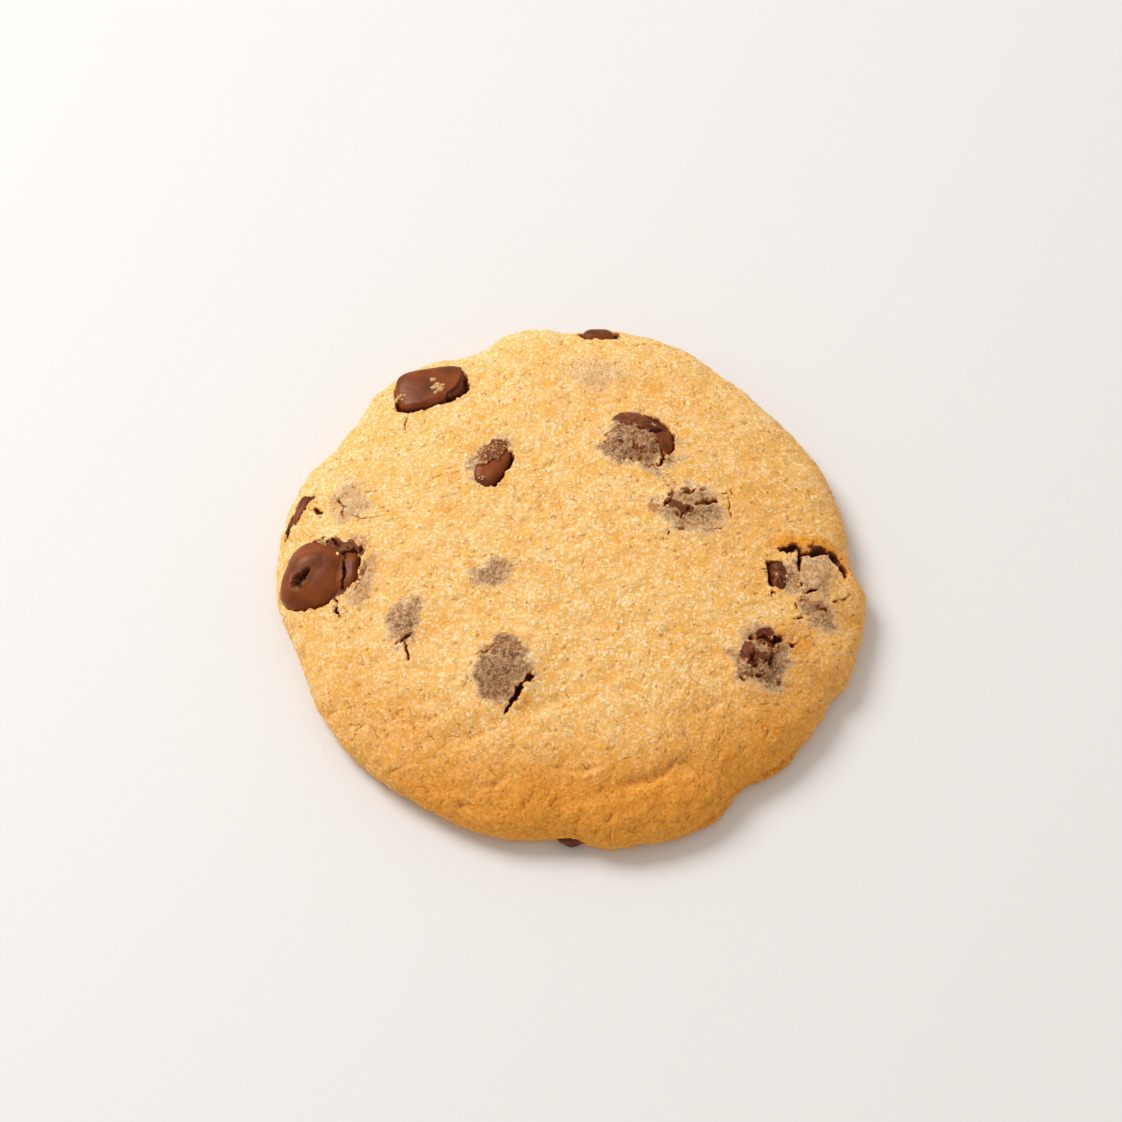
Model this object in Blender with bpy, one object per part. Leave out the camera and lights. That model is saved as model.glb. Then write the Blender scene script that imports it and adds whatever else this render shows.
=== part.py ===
"""A chocolate chip cookie: one domed round of baked dough, with chocolate chips in pockets of their own.

Lengths are in metres and angles in degrees. The cookie rests on its flat underside at z = 0, and the origin
is under its middle. A clock angle runs anticlockwise from +X, seen from above, and -Y is the front.
"""

import math
from typing import NamedTuple

import bmesh
import bpy
from mathutils import Matrix, Vector

# Driving dimensions of the round of dough
ROUND_RADIUS = 0.0380  # the outline before its swells
HEIGHT = 0.0106
RIM_HEIGHT = 0.0029  # height of the line where the side is widest
UNDERSIDE_INSET = 0.0017  # how far the flat underside stays inside that line
DOME_FULLNESS = 2.5  # higher holds the top level for longer
SHOULDER = 0.52  # lower makes the shoulder squarer
FIT_GAP = 0.0003  # clearance between a chip and its pocket

# The mesh of the dough: sectors round it, rings from its middle out to the rim, and rings under the rim
SECTORS = 80
TOP_RINGS = 24
SIDE_RINGS = 5

# Where the rim swells out: from clock angle, to clock angle, how far, and how softly it ends
RIM_SWELLS = (
    (10, 28, 0.0004, 5),
    (60, 89, 0.0021, 6),
    (93, 106, 0.0021, 3),
    (118, 138, 0.0016, 3),
    (155, 193, 0.0017, 5),
    (208, 262, 0.0012, 6),
    (250, 303, 0.0006, 6),
    (274, 300, 0.0020, 4),
    (310, 333, 0.0015, 5),
    (333, 357, 0.0021, 2),
)

# Where a foot of dough peeps out under the rim, in the same form
FOOT_SWELLS = (
    (294, 304, 0.0007, 3),
    (308, 318, 0.0007, 3),
)

# Soft mounds on the top, most over a chip that the dough hides: place, rise, half length, half width, turn
MOUNDS = {
    "front": ((-0.0082, -0.0172), 0.0009, 0.0044, 0.0038, 65),
    "low_left": ((-0.0215, -0.0102), 0.0005, 0.0032, 0.0024, 70),
    "speckled": ((-0.0108, -0.0040), 0.0003, 0.0035, 0.0022, 15),
    "back_smudge": ((0.0035, 0.0289), 0.0004, 0.0046, 0.0030, 0),
    "right_edge": ((0.0331, -0.0036), 0.0012, 0.0030, 0.0026, 100),
    "left_shoulder": ((-0.0298, 0.0087), 0.0004, 0.0036, 0.0024, 100),
    "middle_right": ((0.0172, 0.0058), 0.0004, 0.0056, 0.0040, -15),
    "upper_right": ((0.0093, 0.0170), 0.0003, 0.0060, 0.0052, -25),
    "lower_right": ((0.0245, -0.0160), 0.0003, 0.0046, 0.0040, 70),
}

# Creases where the dough sank as it cooled: points along each, depth, half width
CREASES = {
    "front_left": (((-0.0148, -0.0275), (-0.0090, -0.0248), (-0.0013, -0.0225)), 0.0004, 0.0013),
    "front_right": (((0.0025, -0.0347), (0.0088, -0.0327), (0.0153, -0.0306)), 0.0005, 0.0014),
}

# Open cracks in the crust: points along each, width at the crust, depth
CRACKS = {
    "front": (
        ((-0.0042, -0.0190), (-0.0059, -0.0205), (-0.0071, -0.0226), (-0.0086, -0.0243)),
        0.0008,
        0.0020,
    ),
    "low_left": (((-0.0202, -0.0132), (-0.0212, -0.0146), (-0.0215, -0.0168)), 0.0006, 0.0013),
    "right_edge": (
        (
            (0.0279, 0.0002),
            (0.0300, 0.0004),
            (0.0309, -0.0006),
            (0.0322, 0.0006),
            (0.0340, -0.0002),
            (0.0360, -0.0024),
        ),
        0.0010,
        0.0024,
    ),
}
CRACK_END = 0.35  # width and depth at a crack's ends, as a share of its full ones
CUTTER_CLEARANCE = 0.0015  # how far a crack's cutter stands out over the crust

# Pits in the crust: place, half length, half width, depth, turn
PITS = {
    "lower_right": ((0.0262, -0.0127), 0.0015, 0.0009, 0.0022, -20),
    "left_shoulder": ((-0.0352, 0.0077), 0.0008, 0.0006, 0.0016, 40),
}


class Chip(NamedTuple):
    """One chip, as far as its form goes wherever it sits."""

    place: tuple  # the point on the dough, x and y, under the middle of its top
    half: tuple  # half its length, width and height
    proud: float  # how far its top stands over the dough
    turn: float  # clock angle of its long side
    lean: float = 1.0  # how far it leans with the dough's slope: 1 is all the way
    slab: float = 0.1  # how squared off it is: 0 is an ellipsoid, towards 1 a slab
    taper: float = 0.1  # how much narrower its far end is


CHIPS = {
    "chip_left": Chip((-0.0342, -0.0021), (0.0050, 0.0044, 0.0034), 0.0013, 80, lean=0.35, slab=0.15),
    "chip_left_lobe": Chip((-0.0299, -0.0025), (0.0034, 0.0021, 0.0022), 0.0006, 80, lean=0.5),
    "chip_top_left": Chip((-0.0194, 0.0273), (0.0053, 0.0034, 0.0017), 0.0011, 12, lean=0.45, slab=0.45),
    "chip_middle_left": Chip((-0.0108, 0.0128), (0.0036, 0.0022, 0.0017), 0.0005, 70, slab=0.2, taper=-0.2),
    "chip_upper_right": Chip((0.0093, 0.0174), (0.0049, 0.0042, 0.0024), 0.0009, -25),
    "chip_middle_right": Chip((0.0150, 0.0070), (0.0038, 0.0028, 0.0019), 0.0005, -10),
    "chip_right_edge": Chip((0.0278, -0.0034), (0.0023, 0.0013, 0.0016), 0.0004, 95, taper=0),
    "chip_lower_right": Chip((0.0245, -0.0160), (0.0033, 0.0027, 0.0020), 0.0005, 70),
    "chip_back_rim": Chip((0.0041, 0.0380), (0.0027, 0.0017, 0.0015), 0.0005, -5, taper=0),
    "chip_left_rim": Chip((-0.0368, 0.0086), (0.0026, 0.0010, 0.0013), 0.0003, 72, taper=0),
}

# One more chip shows under the front rim, where the side turns in: middle, half sizes
CHIP_FRONT_UNDER = ((0.0002, -0.0379, 0.0016), (0.0019, 0.0013, 0.0011))

# The torn hole in the big chip on the left: middle, half sizes, turn
TORN_HOLE = ((-0.0366, -0.0022, 0.0072), (0.0016, 0.0011, 0.0011), 30)

# Segments and rings of a chip over 4 mm in half length, and of a smaller one
LARGE_CHIP_MESH = (20, 11)
SMALL_CHIP_MESH = (14, 8)
LARGE_CHIP_HALF_LENGTH = 0.004
CHIP_UNEVENNESS = 0.035
SHARP_EDGE = 42

DOUGH_COLOUR = (0.83, 0.50, 0.17, 1)
CHOCOLATE_COLOUR = (0.15, 0.055, 0.022, 1)


def wrapped(clock, middle):
    """The clock angle from middle, between -180 and 180."""
    return (clock - middle + 180) % 360 - 180


def swelling(clock, swells):
    """The sum of the swells at a clock angle: each is full inside its arc and fades out beyond it."""
    total = 0.0
    for start, end, amount, softness in swells:
        away = wrapped(clock, (start + end) / 2)
        half = (end - start) / 2
        total += amount * 0.5 * (math.tanh((away + half) / softness) - math.tanh((away - half) / softness))
    return total


def rim_radius(clock):
    return ROUND_RADIUS + swelling(clock, RIM_SWELLS)


def mound_height(x, y, mound):
    """A bell-shaped mound on an oval base."""
    (mx, my), rise, half_length, half_width, turn = mound
    c, s = math.cos(math.radians(turn)), math.sin(math.radians(turn))
    along = ((x - mx) * c + (y - my) * s) / half_length
    across = ((y - my) * c - (x - mx) * s) / half_width
    return rise * math.exp(-(along**2) - across**2)


def distance_to_path(x, y, points):
    """The shortest distance in plan from a point to a line through points."""
    here = Vector((x, y))
    shortest = math.inf
    for start, end in zip(points, points[1:]):
        a, b = Vector(start), Vector(end)
        along = max(0.0, min(1.0, (here - a).dot(b - a) / (b - a).length_squared))
        shortest = min(shortest, (here - a.lerp(b, along)).length)
    return shortest


def unevenness(x, y):
    """Broad, shallow waves, as dough never bakes quite level."""
    wave = math.sin(210 * x + 0.6) * math.cos(170 * y - 0.4) + 0.6 * math.sin(330 * y + 250 * x + 1.1)
    return 0.00018 * wave


def relief(x, y):
    height = unevenness(x, y)
    for mound in MOUNDS.values():
        height += mound_height(x, y, mound)
    for points, depth, half_width in CREASES.values():
        height -= depth * math.exp(-((distance_to_path(x, y, points) / half_width) ** 2))
    return height


def dome(reach):
    """Height of the plain dome over the rim line, 1 at the middle, at a share of the way out to the rim."""
    return (1 - min(reach, 1.0) ** DOME_FULLNESS) ** SHOULDER


def top_height(x, y):
    """Height of the dough's top over the point x, y."""
    reach = math.hypot(x, y) / rim_radius(math.degrees(math.atan2(y, x)))
    return RIM_HEIGHT + (HEIGHT - RIM_HEIGHT) * dome(reach) + relief(x, y)


def top_normal(x, y):
    """The upward normal of the dough's top, from heights a millimetre apart."""
    step = 0.001
    rise_x = (top_height(x + step, y) - top_height(x - step, y)) / (2 * step)
    rise_y = (top_height(x, y + step) - top_height(x, y - step)) / (2 * step)
    return Vector((-rise_x, -rise_y, 1)).normalized()


def round_profile():
    """Profile of the round, as (reach, level) pairs.

    The level falls from 1 at the middle to 0 at the rim line, and on to -1 at the flat underside.
    """
    profile = []
    for ring in range(TOP_RINGS + 1):
        reach = math.sin(math.radians(90 * ring / TOP_RINGS))
        profile.append((reach, dome(reach)))
    inset = UNDERSIDE_INSET / ROUND_RADIUS
    for ring in range(1, SIDE_RINGS + 1):
        turn = math.radians(90 * ring / SIDE_RINGS)
        profile.append((1 - inset * (1 - math.cos(turn)), -math.sin(turn)))
    profile.append((0, -1))
    return profile


def dough_point(unit):
    """Carries a point of the turned unit shape to its place on the real dough."""
    reach = math.hypot(unit.x, unit.y)
    clock = math.degrees(math.atan2(unit.y, unit.x))
    radius = reach * rim_radius(clock)
    if unit.z >= 0:
        x, y = radius * math.cos(math.radians(clock)), radius * math.sin(math.radians(clock))
        fade = 1 - reach**12
        return Vector((x, y, RIM_HEIGHT + (HEIGHT - RIM_HEIGHT) * unit.z + fade * relief(x, y)))
    # The foot draws in just under the rim line and comes out again below it
    foot = swelling(clock, FOOT_SWELLS)
    radius += foot * reach**20 * (-math.sin(2 * math.pi * min(-unit.z / 0.9, 1)))
    x, y = radius * math.cos(math.radians(clock)), radius * math.sin(math.radians(clock))
    return Vector((x, y, RIM_HEIGHT * (1 + unit.z)))


def material(name, colour, roughness):
    made = bpy.data.materials.new(name)
    made.use_nodes = True
    shader = made.node_tree.nodes["Principled BSDF"]
    shader.inputs["Base Color"].default_value = colour
    shader.inputs["Roughness"].default_value = roughness
    shader.inputs["Metallic"].default_value = 0
    return made


def object_from(name, bm):
    """Makes an object of a closed bmesh, its faces triangles that point outwards."""
    bmesh.ops.recalc_face_normals(bm, faces=bm.faces)
    if bm.calc_volume(signed=True) < 0:
        bmesh.ops.reverse_faces(bm, faces=bm.faces)
    bmesh.ops.triangulate(bm, faces=bm.faces)
    mesh = bpy.data.meshes.new(name)
    bm.to_mesh(mesh)
    bm.free()
    made = bpy.data.objects.new(name, mesh)
    bpy.context.scene.collection.objects.link(made)
    return made


def dough_object():
    """Turns the profile once round, then carries every point to its place."""
    bm = bmesh.new()
    verts = [bm.verts.new((reach, 0, level)) for reach, level in round_profile()]
    edges = [bm.edges.new(pair) for pair in zip(verts, verts[1:])]
    bmesh.ops.spin(
        bm,
        geom=verts + edges,
        cent=(0, 0, 0),
        axis=(0, 0, 1),
        angle=math.tau,
        steps=SECTORS,
        use_merge=True,
    )
    bmesh.ops.remove_doubles(bm, verts=bm.verts, dist=1e-5)
    for vert in bm.verts:
        vert.co = dough_point(vert.co)
    return object_from("dough", bm)


def chip_object(name, frame, half, slab, taper, grow=0.0):
    """An uneven, rounded lump: a ball squared off towards a slab, narrowed along its length and scaled."""
    segments, rings = LARGE_CHIP_MESH if half[0] > LARGE_CHIP_HALF_LENGTH else SMALL_CHIP_MESH
    bm = bmesh.new()
    bmesh.ops.create_uvsphere(bm, u_segments=segments, v_segments=rings, radius=1)
    exponent = 2 + 4 * slab
    phase = 1000 * (half[0] + half[1])
    for vert in bm.verts:
        x, y, z = vert.co
        square = (abs(x) ** exponent + abs(y) ** exponent + abs(z) ** exponent) ** (1 / exponent)
        wave = math.sin(3.1 * x + 1.7 * y + phase) + math.cos(2.7 * y - 2.2 * z + 2 * phase)
        swell = (1 + CHIP_UNEVENNESS * wave) / square
        vert.co = frame @ Vector(
            (
                x * swell * (half[0] + grow),
                y * swell * (1 - taper * x) * (half[1] + grow),
                z * swell * (half[2] + grow),
            )
        )
    return object_from(name, bm)


def chip_frame(chip):
    """Stands a chip on the dough: its top proud of the crust, its long side turned, and its axis leaning."""
    upright = Vector((0, 0, 1))
    normal = upright.lerp(top_normal(*chip.place), chip.lean).normalized()
    tilt = upright.rotation_difference(normal).to_matrix().to_4x4()
    surface = Vector((*chip.place, top_height(*chip.place)))
    middle = surface + normal * (chip.proud - chip.half[2])
    return Matrix.Translation(middle) @ tilt @ Matrix.Rotation(math.radians(chip.turn), 4, "Z")


def ball_cutter(centre, half, turn):
    """An ellipsoid for cutting a pit."""
    bm = bmesh.new()
    bmesh.ops.create_uvsphere(bm, u_segments=10, v_segments=7, radius=1)
    scale = Matrix.Diagonal((*half, 1))
    placed = Matrix.Translation(centre) @ Matrix.Rotation(math.radians(turn), 4, "Z") @ scale
    bmesh.ops.transform(bm, matrix=placed, verts=bm.verts)
    return object_from("pit_cutter", bm)


def crack_cutter(points, width, depth):
    """A wedge along a path, with its sharp edge at the bottom of the crack, smaller towards both ends."""
    bm = bmesh.new()
    path = [Vector(point) for point in points]
    sections = []
    for i, point in enumerate(path):
        along = path[min(i + 1, len(path) - 1)] - path[max(i - 1, 0)]
        side = Vector((-along.y, along.x)).normalized()
        share = CRACK_END if i in (0, len(path) - 1) else 1.0
        crust = top_height(*point)
        # The wedge goes on widening over the crust, so that it has its full width where it meets it
        spread = side * 0.5 * width * share * (1 + CUTTER_CLEARANCE / (depth * share))
        top = crust + CUTTER_CLEARANCE
        corners = ((point + spread, top), (point - spread, top), (point, crust - depth * share))
        sections.append([bm.verts.new((plan.x, plan.y, height)) for plan, height in corners])
    for near, far in zip(sections, sections[1:]):
        for j in range(3):
            k = (j + 1) % 3
            bm.faces.new((near[j], near[k], far[k], far[j]))
    bm.faces.new(sections[0])
    bm.faces.new(sections[-1])
    return object_from("crack_cutter", bm)


def cut(target, cutter):
    """Takes the cutter's shape out of the target, and removes the cutter."""
    modifier = target.modifiers.new("cut", "BOOLEAN")
    modifier.operation = "DIFFERENCE"
    modifier.solver = "EXACT"
    modifier.object = cutter
    graph = bpy.context.evaluated_depsgraph_get()
    finished = bpy.data.meshes.new_from_object(target.evaluated_get(graph))
    target.modifiers.clear()
    target.data = finished
    bpy.data.objects.remove(cutter)


def body_of(vert):
    """Every vertex that edges join to this one."""
    body = {vert}
    newest = [vert]
    while newest:
        near = newest.pop()
        for edge in near.link_edges:
            other = edge.other_vert(near)
            if other not in body:
                body.add(other)
                newest.append(other)
    return body


def drop_scraps(target):
    """Keeps the largest body of the mesh, as a cut near the rim can leave a crumb behind."""
    bm = bmesh.new()
    bm.from_mesh(target.data)
    unseen = set(bm.verts)
    bodies = []
    while unseen:
        body = body_of(next(iter(unseen)))
        bodies.append(body)
        unseen -= body
    bodies.sort(key=len)
    for scrap in bodies[:-1]:
        bmesh.ops.delete(bm, geom=list(scrap), context="VERTS")
    bm.to_mesh(target.data)
    bm.free()


def finish(target, finish_material):
    target.data.materials.clear()
    target.data.materials.append(finish_material)
    target.data.shade_smooth()
    target.data.set_sharp_from_angle(angle=math.radians(SHARP_EDGE))


def chip_forms():
    """Every chip's frame, half sizes, slab and taper, by name."""
    forms = {name: (chip_frame(chip), chip.half, chip.slab, chip.taper) for name, chip in CHIPS.items()}
    middle, half = CHIP_FRONT_UNDER
    forms["chip_front_under"] = (Matrix.Translation(middle), half, 0.1, 0)
    return forms


def main():
    for old in list(bpy.data.objects):
        bpy.data.objects.remove(old)
    baked_dough = material("baked_dough", DOUGH_COLOUR, 0.7)
    chocolate = material("chocolate", CHOCOLATE_COLOUR, 0.4)

    dough = dough_object()
    forms = chip_forms()
    chips = {name: chip_object(name, *form) for name, form in forms.items()}
    cut(chips["chip_left_lobe"], chip_object("neighbour", *forms["chip_left"], grow=FIT_GAP))
    cut(chips["chip_left"], ball_cutter(*TORN_HOLE))

    for form in forms.values():
        cut(dough, chip_object("pocket", *form, grow=FIT_GAP))
    for crack in CRACKS.values():
        cut(dough, crack_cutter(*crack))
    for place, half_length, half_width, depth, turn in PITS.values():
        centre = (*place, top_height(*place))
        cut(dough, ball_cutter(centre, (half_length, half_width, depth), turn))

    drop_scraps(dough)
    finish(dough, baked_dough)
    for chip in chips.values():
        finish(chip, chocolate)


main()
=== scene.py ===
"""A soft-baked chocolate chip cookie: its crust, its chips and the loose grains on it.

Lengths are in metres and angles in degrees, unless a name says otherwise. The cookie lies on
z = 0, a clock angle runs anticlockwise from +X, seen from above, and -Y is the front.
"""

import itertools
import math

import bpy
import numpy as np
from mathutils import Matrix


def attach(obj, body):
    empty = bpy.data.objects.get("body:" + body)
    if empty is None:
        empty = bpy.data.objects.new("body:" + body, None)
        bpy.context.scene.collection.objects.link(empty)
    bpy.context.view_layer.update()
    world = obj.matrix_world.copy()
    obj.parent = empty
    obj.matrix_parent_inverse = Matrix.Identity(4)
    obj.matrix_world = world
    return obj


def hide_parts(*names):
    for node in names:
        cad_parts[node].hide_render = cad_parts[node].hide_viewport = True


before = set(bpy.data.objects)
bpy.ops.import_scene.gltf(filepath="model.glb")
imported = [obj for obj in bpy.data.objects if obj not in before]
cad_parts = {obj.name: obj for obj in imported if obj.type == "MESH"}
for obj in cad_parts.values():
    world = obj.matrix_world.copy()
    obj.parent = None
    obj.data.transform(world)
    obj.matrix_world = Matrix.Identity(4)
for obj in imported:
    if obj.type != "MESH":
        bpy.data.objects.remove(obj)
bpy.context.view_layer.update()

# The round of dough, as the frame's solids have it
ROUND_RADIUS = 0.0380
HEIGHT = 0.0106
RIM_HEIGHT = 0.0029
UNDERSIDE_INSET = 0.0017
DOME_FULLNESS = 2.5
SHOULDER = 0.52

# Where the rim swells out: from clock angle, to clock angle, how far, and how softly it ends
RIM_SWELLS = (
    (10, 28, 0.0004, 5),
    (60, 89, 0.0021, 6),
    (93, 106, 0.0021, 3),
    (118, 138, 0.0016, 3),
    (155, 193, 0.0017, 5),
    (208, 262, 0.0012, 6),
    (250, 303, 0.0006, 6),
    (274, 300, 0.0020, 4),
    (310, 333, 0.0015, 5),
    (333, 357, 0.0021, 2),
)
# Where the foot under the rim swells out, in the same way
FOOT_SWELLS = (
    (294, 304, 0.0007, 3),
    (308, 318, 0.0007, 3),
)

# Soft mounds: place, rise, half length, half width, turn
MOUNDS = (
    ((-0.0082, -0.0172), 0.0009, 0.0044, 0.0038, 65),
    ((-0.0215, -0.0102), 0.0005, 0.0032, 0.0024, 70),
    ((-0.0108, -0.0040), 0.0003, 0.0035, 0.0022, 15),
    ((0.0035, 0.0289), 0.0004, 0.0046, 0.0030, 0),
    ((0.0331, -0.0036), 0.0012, 0.0030, 0.0026, 100),
    ((-0.0298, 0.0087), 0.0004, 0.0036, 0.0024, 100),
    ((0.0172, 0.0058), 0.0004, 0.0056, 0.0040, -15),
    ((0.0093, 0.0170), 0.0003, 0.0060, 0.0052, -25),
    ((0.0245, -0.0160), 0.0003, 0.0046, 0.0040, 70),
)

# Creases where the dough sank as it cooled: points along each, depth, half width
CREASES = (
    (((-0.0148, -0.0275), (-0.0090, -0.0248), (-0.0013, -0.0225)), 0.0004, 0.0013),
    (((0.0025, -0.0347), (0.0088, -0.0327), (0.0153, -0.0306)), 0.0005, 0.0014),
)

# Cracks in the crust: points along each, width, depth
CRACKS = (
    # Below the front bump
    (((-0.0045, -0.0192), (-0.0060, -0.0198)), 0.0006, 0.0012),
    (
        (
            (-0.0058, -0.0197),
            (-0.0064, -0.0206),
            (-0.0066, -0.0212),
            (-0.0074, -0.0223),
            (-0.0085, -0.0240),
        ),
        0.0007,
        0.0018,
    ),
    # Below the low left bump
    (((-0.0208, -0.0127), (-0.0220, -0.0135), (-0.0230, -0.0139)), 0.0004, 0.0010),
    (((-0.0220, -0.0137), (-0.0213, -0.0146), (-0.0210, -0.0166)), 0.0004, 0.0010),
    # Round the lump at the right edge
    (((0.0280, 0.0003), (0.0293, 0.0007), (0.0306, 0.0016)), 0.0009, 0.0016),
    (((0.0306, 0.0012), (0.0308, 0.0002), (0.0304, -0.0014), (0.0305, -0.0031)), 0.0006, 0.0018),
    (((0.0308, 0.0001), (0.0320, 0.0001), (0.0335, 0.0009), (0.0347, 0.0013)), 0.0010, 0.0018),
    (((0.0346, 0.0013), (0.0356, 0.0006), (0.0361, -0.0004)), 0.0008, 0.0014),
    (((0.0367, -0.0001), (0.0367, -0.0012), (0.0366, -0.0023)), 0.0009, 0.0016),
    (((0.0325, 0.0022), (0.0325, 0.0011)), 0.0003, 0.0010),
    (((0.0305, -0.0045), (0.0305, -0.0052)), 0.0004, 0.0009),
    (((0.0306, -0.0062), (0.0317, -0.0057), (0.0325, -0.0055)), 0.0005, 0.0010),
    (((0.0253, -0.0027), (0.0266, -0.0030)), 0.0002, 0.0005),
    (((0.0269, -0.0059), (0.0270, -0.0068)), 0.0004, 0.0009),
    # Below that lump
    (((0.0295, -0.0075), (0.0301, -0.0083)), 0.0003, 0.0006),
    (((0.0332, -0.0079), (0.0340, -0.0082)), 0.0005, 0.0008),
    (((0.0347, -0.0066), (0.0357, -0.0061), (0.0376, -0.0048)), 0.0003, 0.0006),
    (((0.0295, -0.0098), (0.0305, -0.0096)), 0.0004, 0.0008),
    (((0.0335, -0.0099), (0.0341, -0.0098)), 0.0004, 0.0007),
    # In and beside the crusted chip right of the middle
    (((0.0116, 0.0060), (0.0120, 0.0064)), 0.0003, 0.0006),
    (((0.0126, 0.0059), (0.0131, 0.0064), (0.0138, 0.0066)), 0.0005, 0.0009),
    (((0.0135, 0.0069), (0.0137, 0.0084)), 0.0006, 0.0010),
    (((0.0149, 0.0080), (0.0161, 0.0079), (0.0171, 0.0090)), 0.0003, 0.0006),
    (((0.0175, 0.0090), (0.0181, 0.0090)), 0.0005, 0.0008),
    (((0.0176, 0.0079), (0.0180, 0.0077)), 0.0005, 0.0008),
    (((0.0167, 0.0062), (0.0175, 0.0067), (0.0188, 0.0068), (0.0198, 0.0074)), 0.0005, 0.0010),
    (((0.0155, 0.0054), (0.0160, 0.0053)), 0.0004, 0.0007),
    (((0.0152, 0.0051), (0.0148, 0.0045)), 0.0003, 0.0006),
    (((0.0146, 0.0027), (0.0152, 0.0027)), 0.0003, 0.0006),
    (((0.0129, 0.0017), (0.0133, 0.0023)), 0.0003, 0.0006),
    (((0.0192, 0.0028), (0.0203, 0.0035)), 0.0002, 0.0005),
    (((0.0202, 0.0086), (0.0213, 0.0088)), 0.0003, 0.0005),
    (((0.0215, 0.0092), (0.0218, 0.0087)), 0.0003, 0.0006),
    (((0.0215, 0.0076), (0.0212, 0.0058), (0.0216, 0.0050)), 0.0003, 0.0007),
    # In and beside the large chip over it
    (((0.0059, 0.0199), (0.0072, 0.0199)), 0.0003, 0.0006),
    (
        ((0.0125, 0.0157), (0.0125, 0.0149), (0.0127, 0.0141), (0.0124, 0.0130), (0.0118, 0.0125)),
        0.0005,
        0.0010,
    ),
    (((0.0119, 0.0132), (0.0117, 0.0126)), 0.0004, 0.0007),
    (((0.0079, 0.0136), (0.0083, 0.0140)), 0.0004, 0.0006),
    (((0.0091, 0.0136), (0.0099, 0.0138)), 0.0004, 0.0007),
    (((0.0108, 0.0123), (0.0114, 0.0127)), 0.0003, 0.0006),
    (((0.0045, 0.0159), (0.0047, 0.0163)), 0.0004, 0.0006),
    (((0.0084, 0.0158), (0.0087, 0.0150)), 0.0004, 0.0006),
    (((0.0068, 0.0164), (0.0073, 0.0157)), 0.0003, 0.0006),
    # In and beside the broken chip at the lower right
    (((0.0244, -0.0134), (0.0256, -0.0138), (0.0266, -0.0138)), 0.0014, 0.0018),
    (((0.0258, -0.0115), (0.0262, -0.0120)), 0.0004, 0.0008),
    (((0.0266, -0.0128), (0.0279, -0.0131)), 0.0010, 0.0016),
    (((0.0286, -0.0133), (0.0291, -0.0139)), 0.0006, 0.0009),
    (((0.0289, -0.0134), (0.0300, -0.0129)), 0.0003, 0.0006),
    (((0.0239, -0.0157), (0.0233, -0.0168), (0.0238, -0.0176), (0.0233, -0.0184)), 0.0006, 0.0009),
    (((0.0261, -0.0143), (0.0262, -0.0158), (0.0259, -0.0172)), 0.0004, 0.0008),
    (((0.0250, -0.0170), (0.0257, -0.0164)), 0.0004, 0.0006),
    (((0.0220, -0.0188), (0.0227, -0.0194)), 0.0005, 0.0010),
    (((0.0235, -0.0186), (0.0250, -0.0186)), 0.0003, 0.0007),
    (((0.0271, -0.0184), (0.0271, -0.0192)), 0.0004, 0.0006),
    # On the left shoulder and beside the large chip
    (((-0.0320, 0.0098), (-0.0310, 0.0080), (-0.0300, 0.0071)), 0.0003, 0.0007),
    (((-0.0306, 0.0074), (-0.0306, 0.0055)), 0.0003, 0.0006),
    (((-0.0294, 0.0061), (-0.0282, 0.0051), (-0.0267, 0.0049), (-0.0248, 0.0054)), 0.0002, 0.0004),
    (((-0.0310, -0.0068), (-0.0308, -0.0081), (-0.0306, -0.0091)), 0.0004, 0.0010),
    (((-0.0277, 0.0008), (-0.0278, -0.0001)), 0.0004, 0.0009),
    (((-0.0326, 0.0023), (-0.0317, 0.0021), (-0.0308, 0.0010)), 0.0005, 0.0009),
    (((-0.0298, 0.0008), (-0.0294, 0.0004)), 0.0003, 0.0006),
    # The torn place by the left rim, and its slit
    (((-0.0347, 0.0083), (-0.0344, 0.0073), (-0.0336, 0.0070)), 0.0007, 0.0014),
    (((-0.0376, 0.0070), (-0.0384, 0.0050), (-0.0386, 0.0036)), 0.0004, 0.0009),
    (((-0.0367, 0.0092), (-0.0357, 0.0098), (-0.0348, 0.0099)), 0.0005, 0.0010),
    # Below the slab and by the patch at the back
    (((-0.0224, 0.0225), (-0.0228, 0.0211), (-0.0227, 0.0198)), 0.0003, 0.0005),
    (((0.0030, 0.0310), (0.0025, 0.0302)), 0.0002, 0.0004),
    (((-0.0014, 0.0266), (-0.0007, 0.0259)), 0.0002, 0.0004),
    (((-0.0126, -0.0161), (-0.0109, -0.0159), (-0.0089, -0.0146)), 0.0003, 0.0004),
)

# Folds in the front of the crust: points along each, half width, depth
FOLDS = (
    (((-0.0131, -0.0269), (-0.0112, -0.0268), (-0.0094, -0.0260)), 0.0004, 0.00030),
    (((-0.0115, -0.0333), (-0.0098, -0.0331), (-0.0081, -0.0321)), 0.0004, 0.00030),
    (((-0.0001, -0.0319), (0.0020, -0.0317), (0.0042, -0.0309)), 0.0004, 0.00032),
    (((0.0061, -0.0336), (0.0107, -0.0324), (0.0141, -0.0299)), 0.0005, 0.00040),
    (((-0.0172, -0.0200), (-0.0150, -0.0196), (-0.0135, -0.0184)), 0.0003, 0.00015),
    (((0.0150, -0.0240), (0.0180, -0.0232), (0.0205, -0.0214)), 0.0004, 0.00022),
    (((-0.0240, -0.0235), (-0.0215, -0.0245), (-0.0195, -0.0260)), 0.0004, 0.00022),
)

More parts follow.
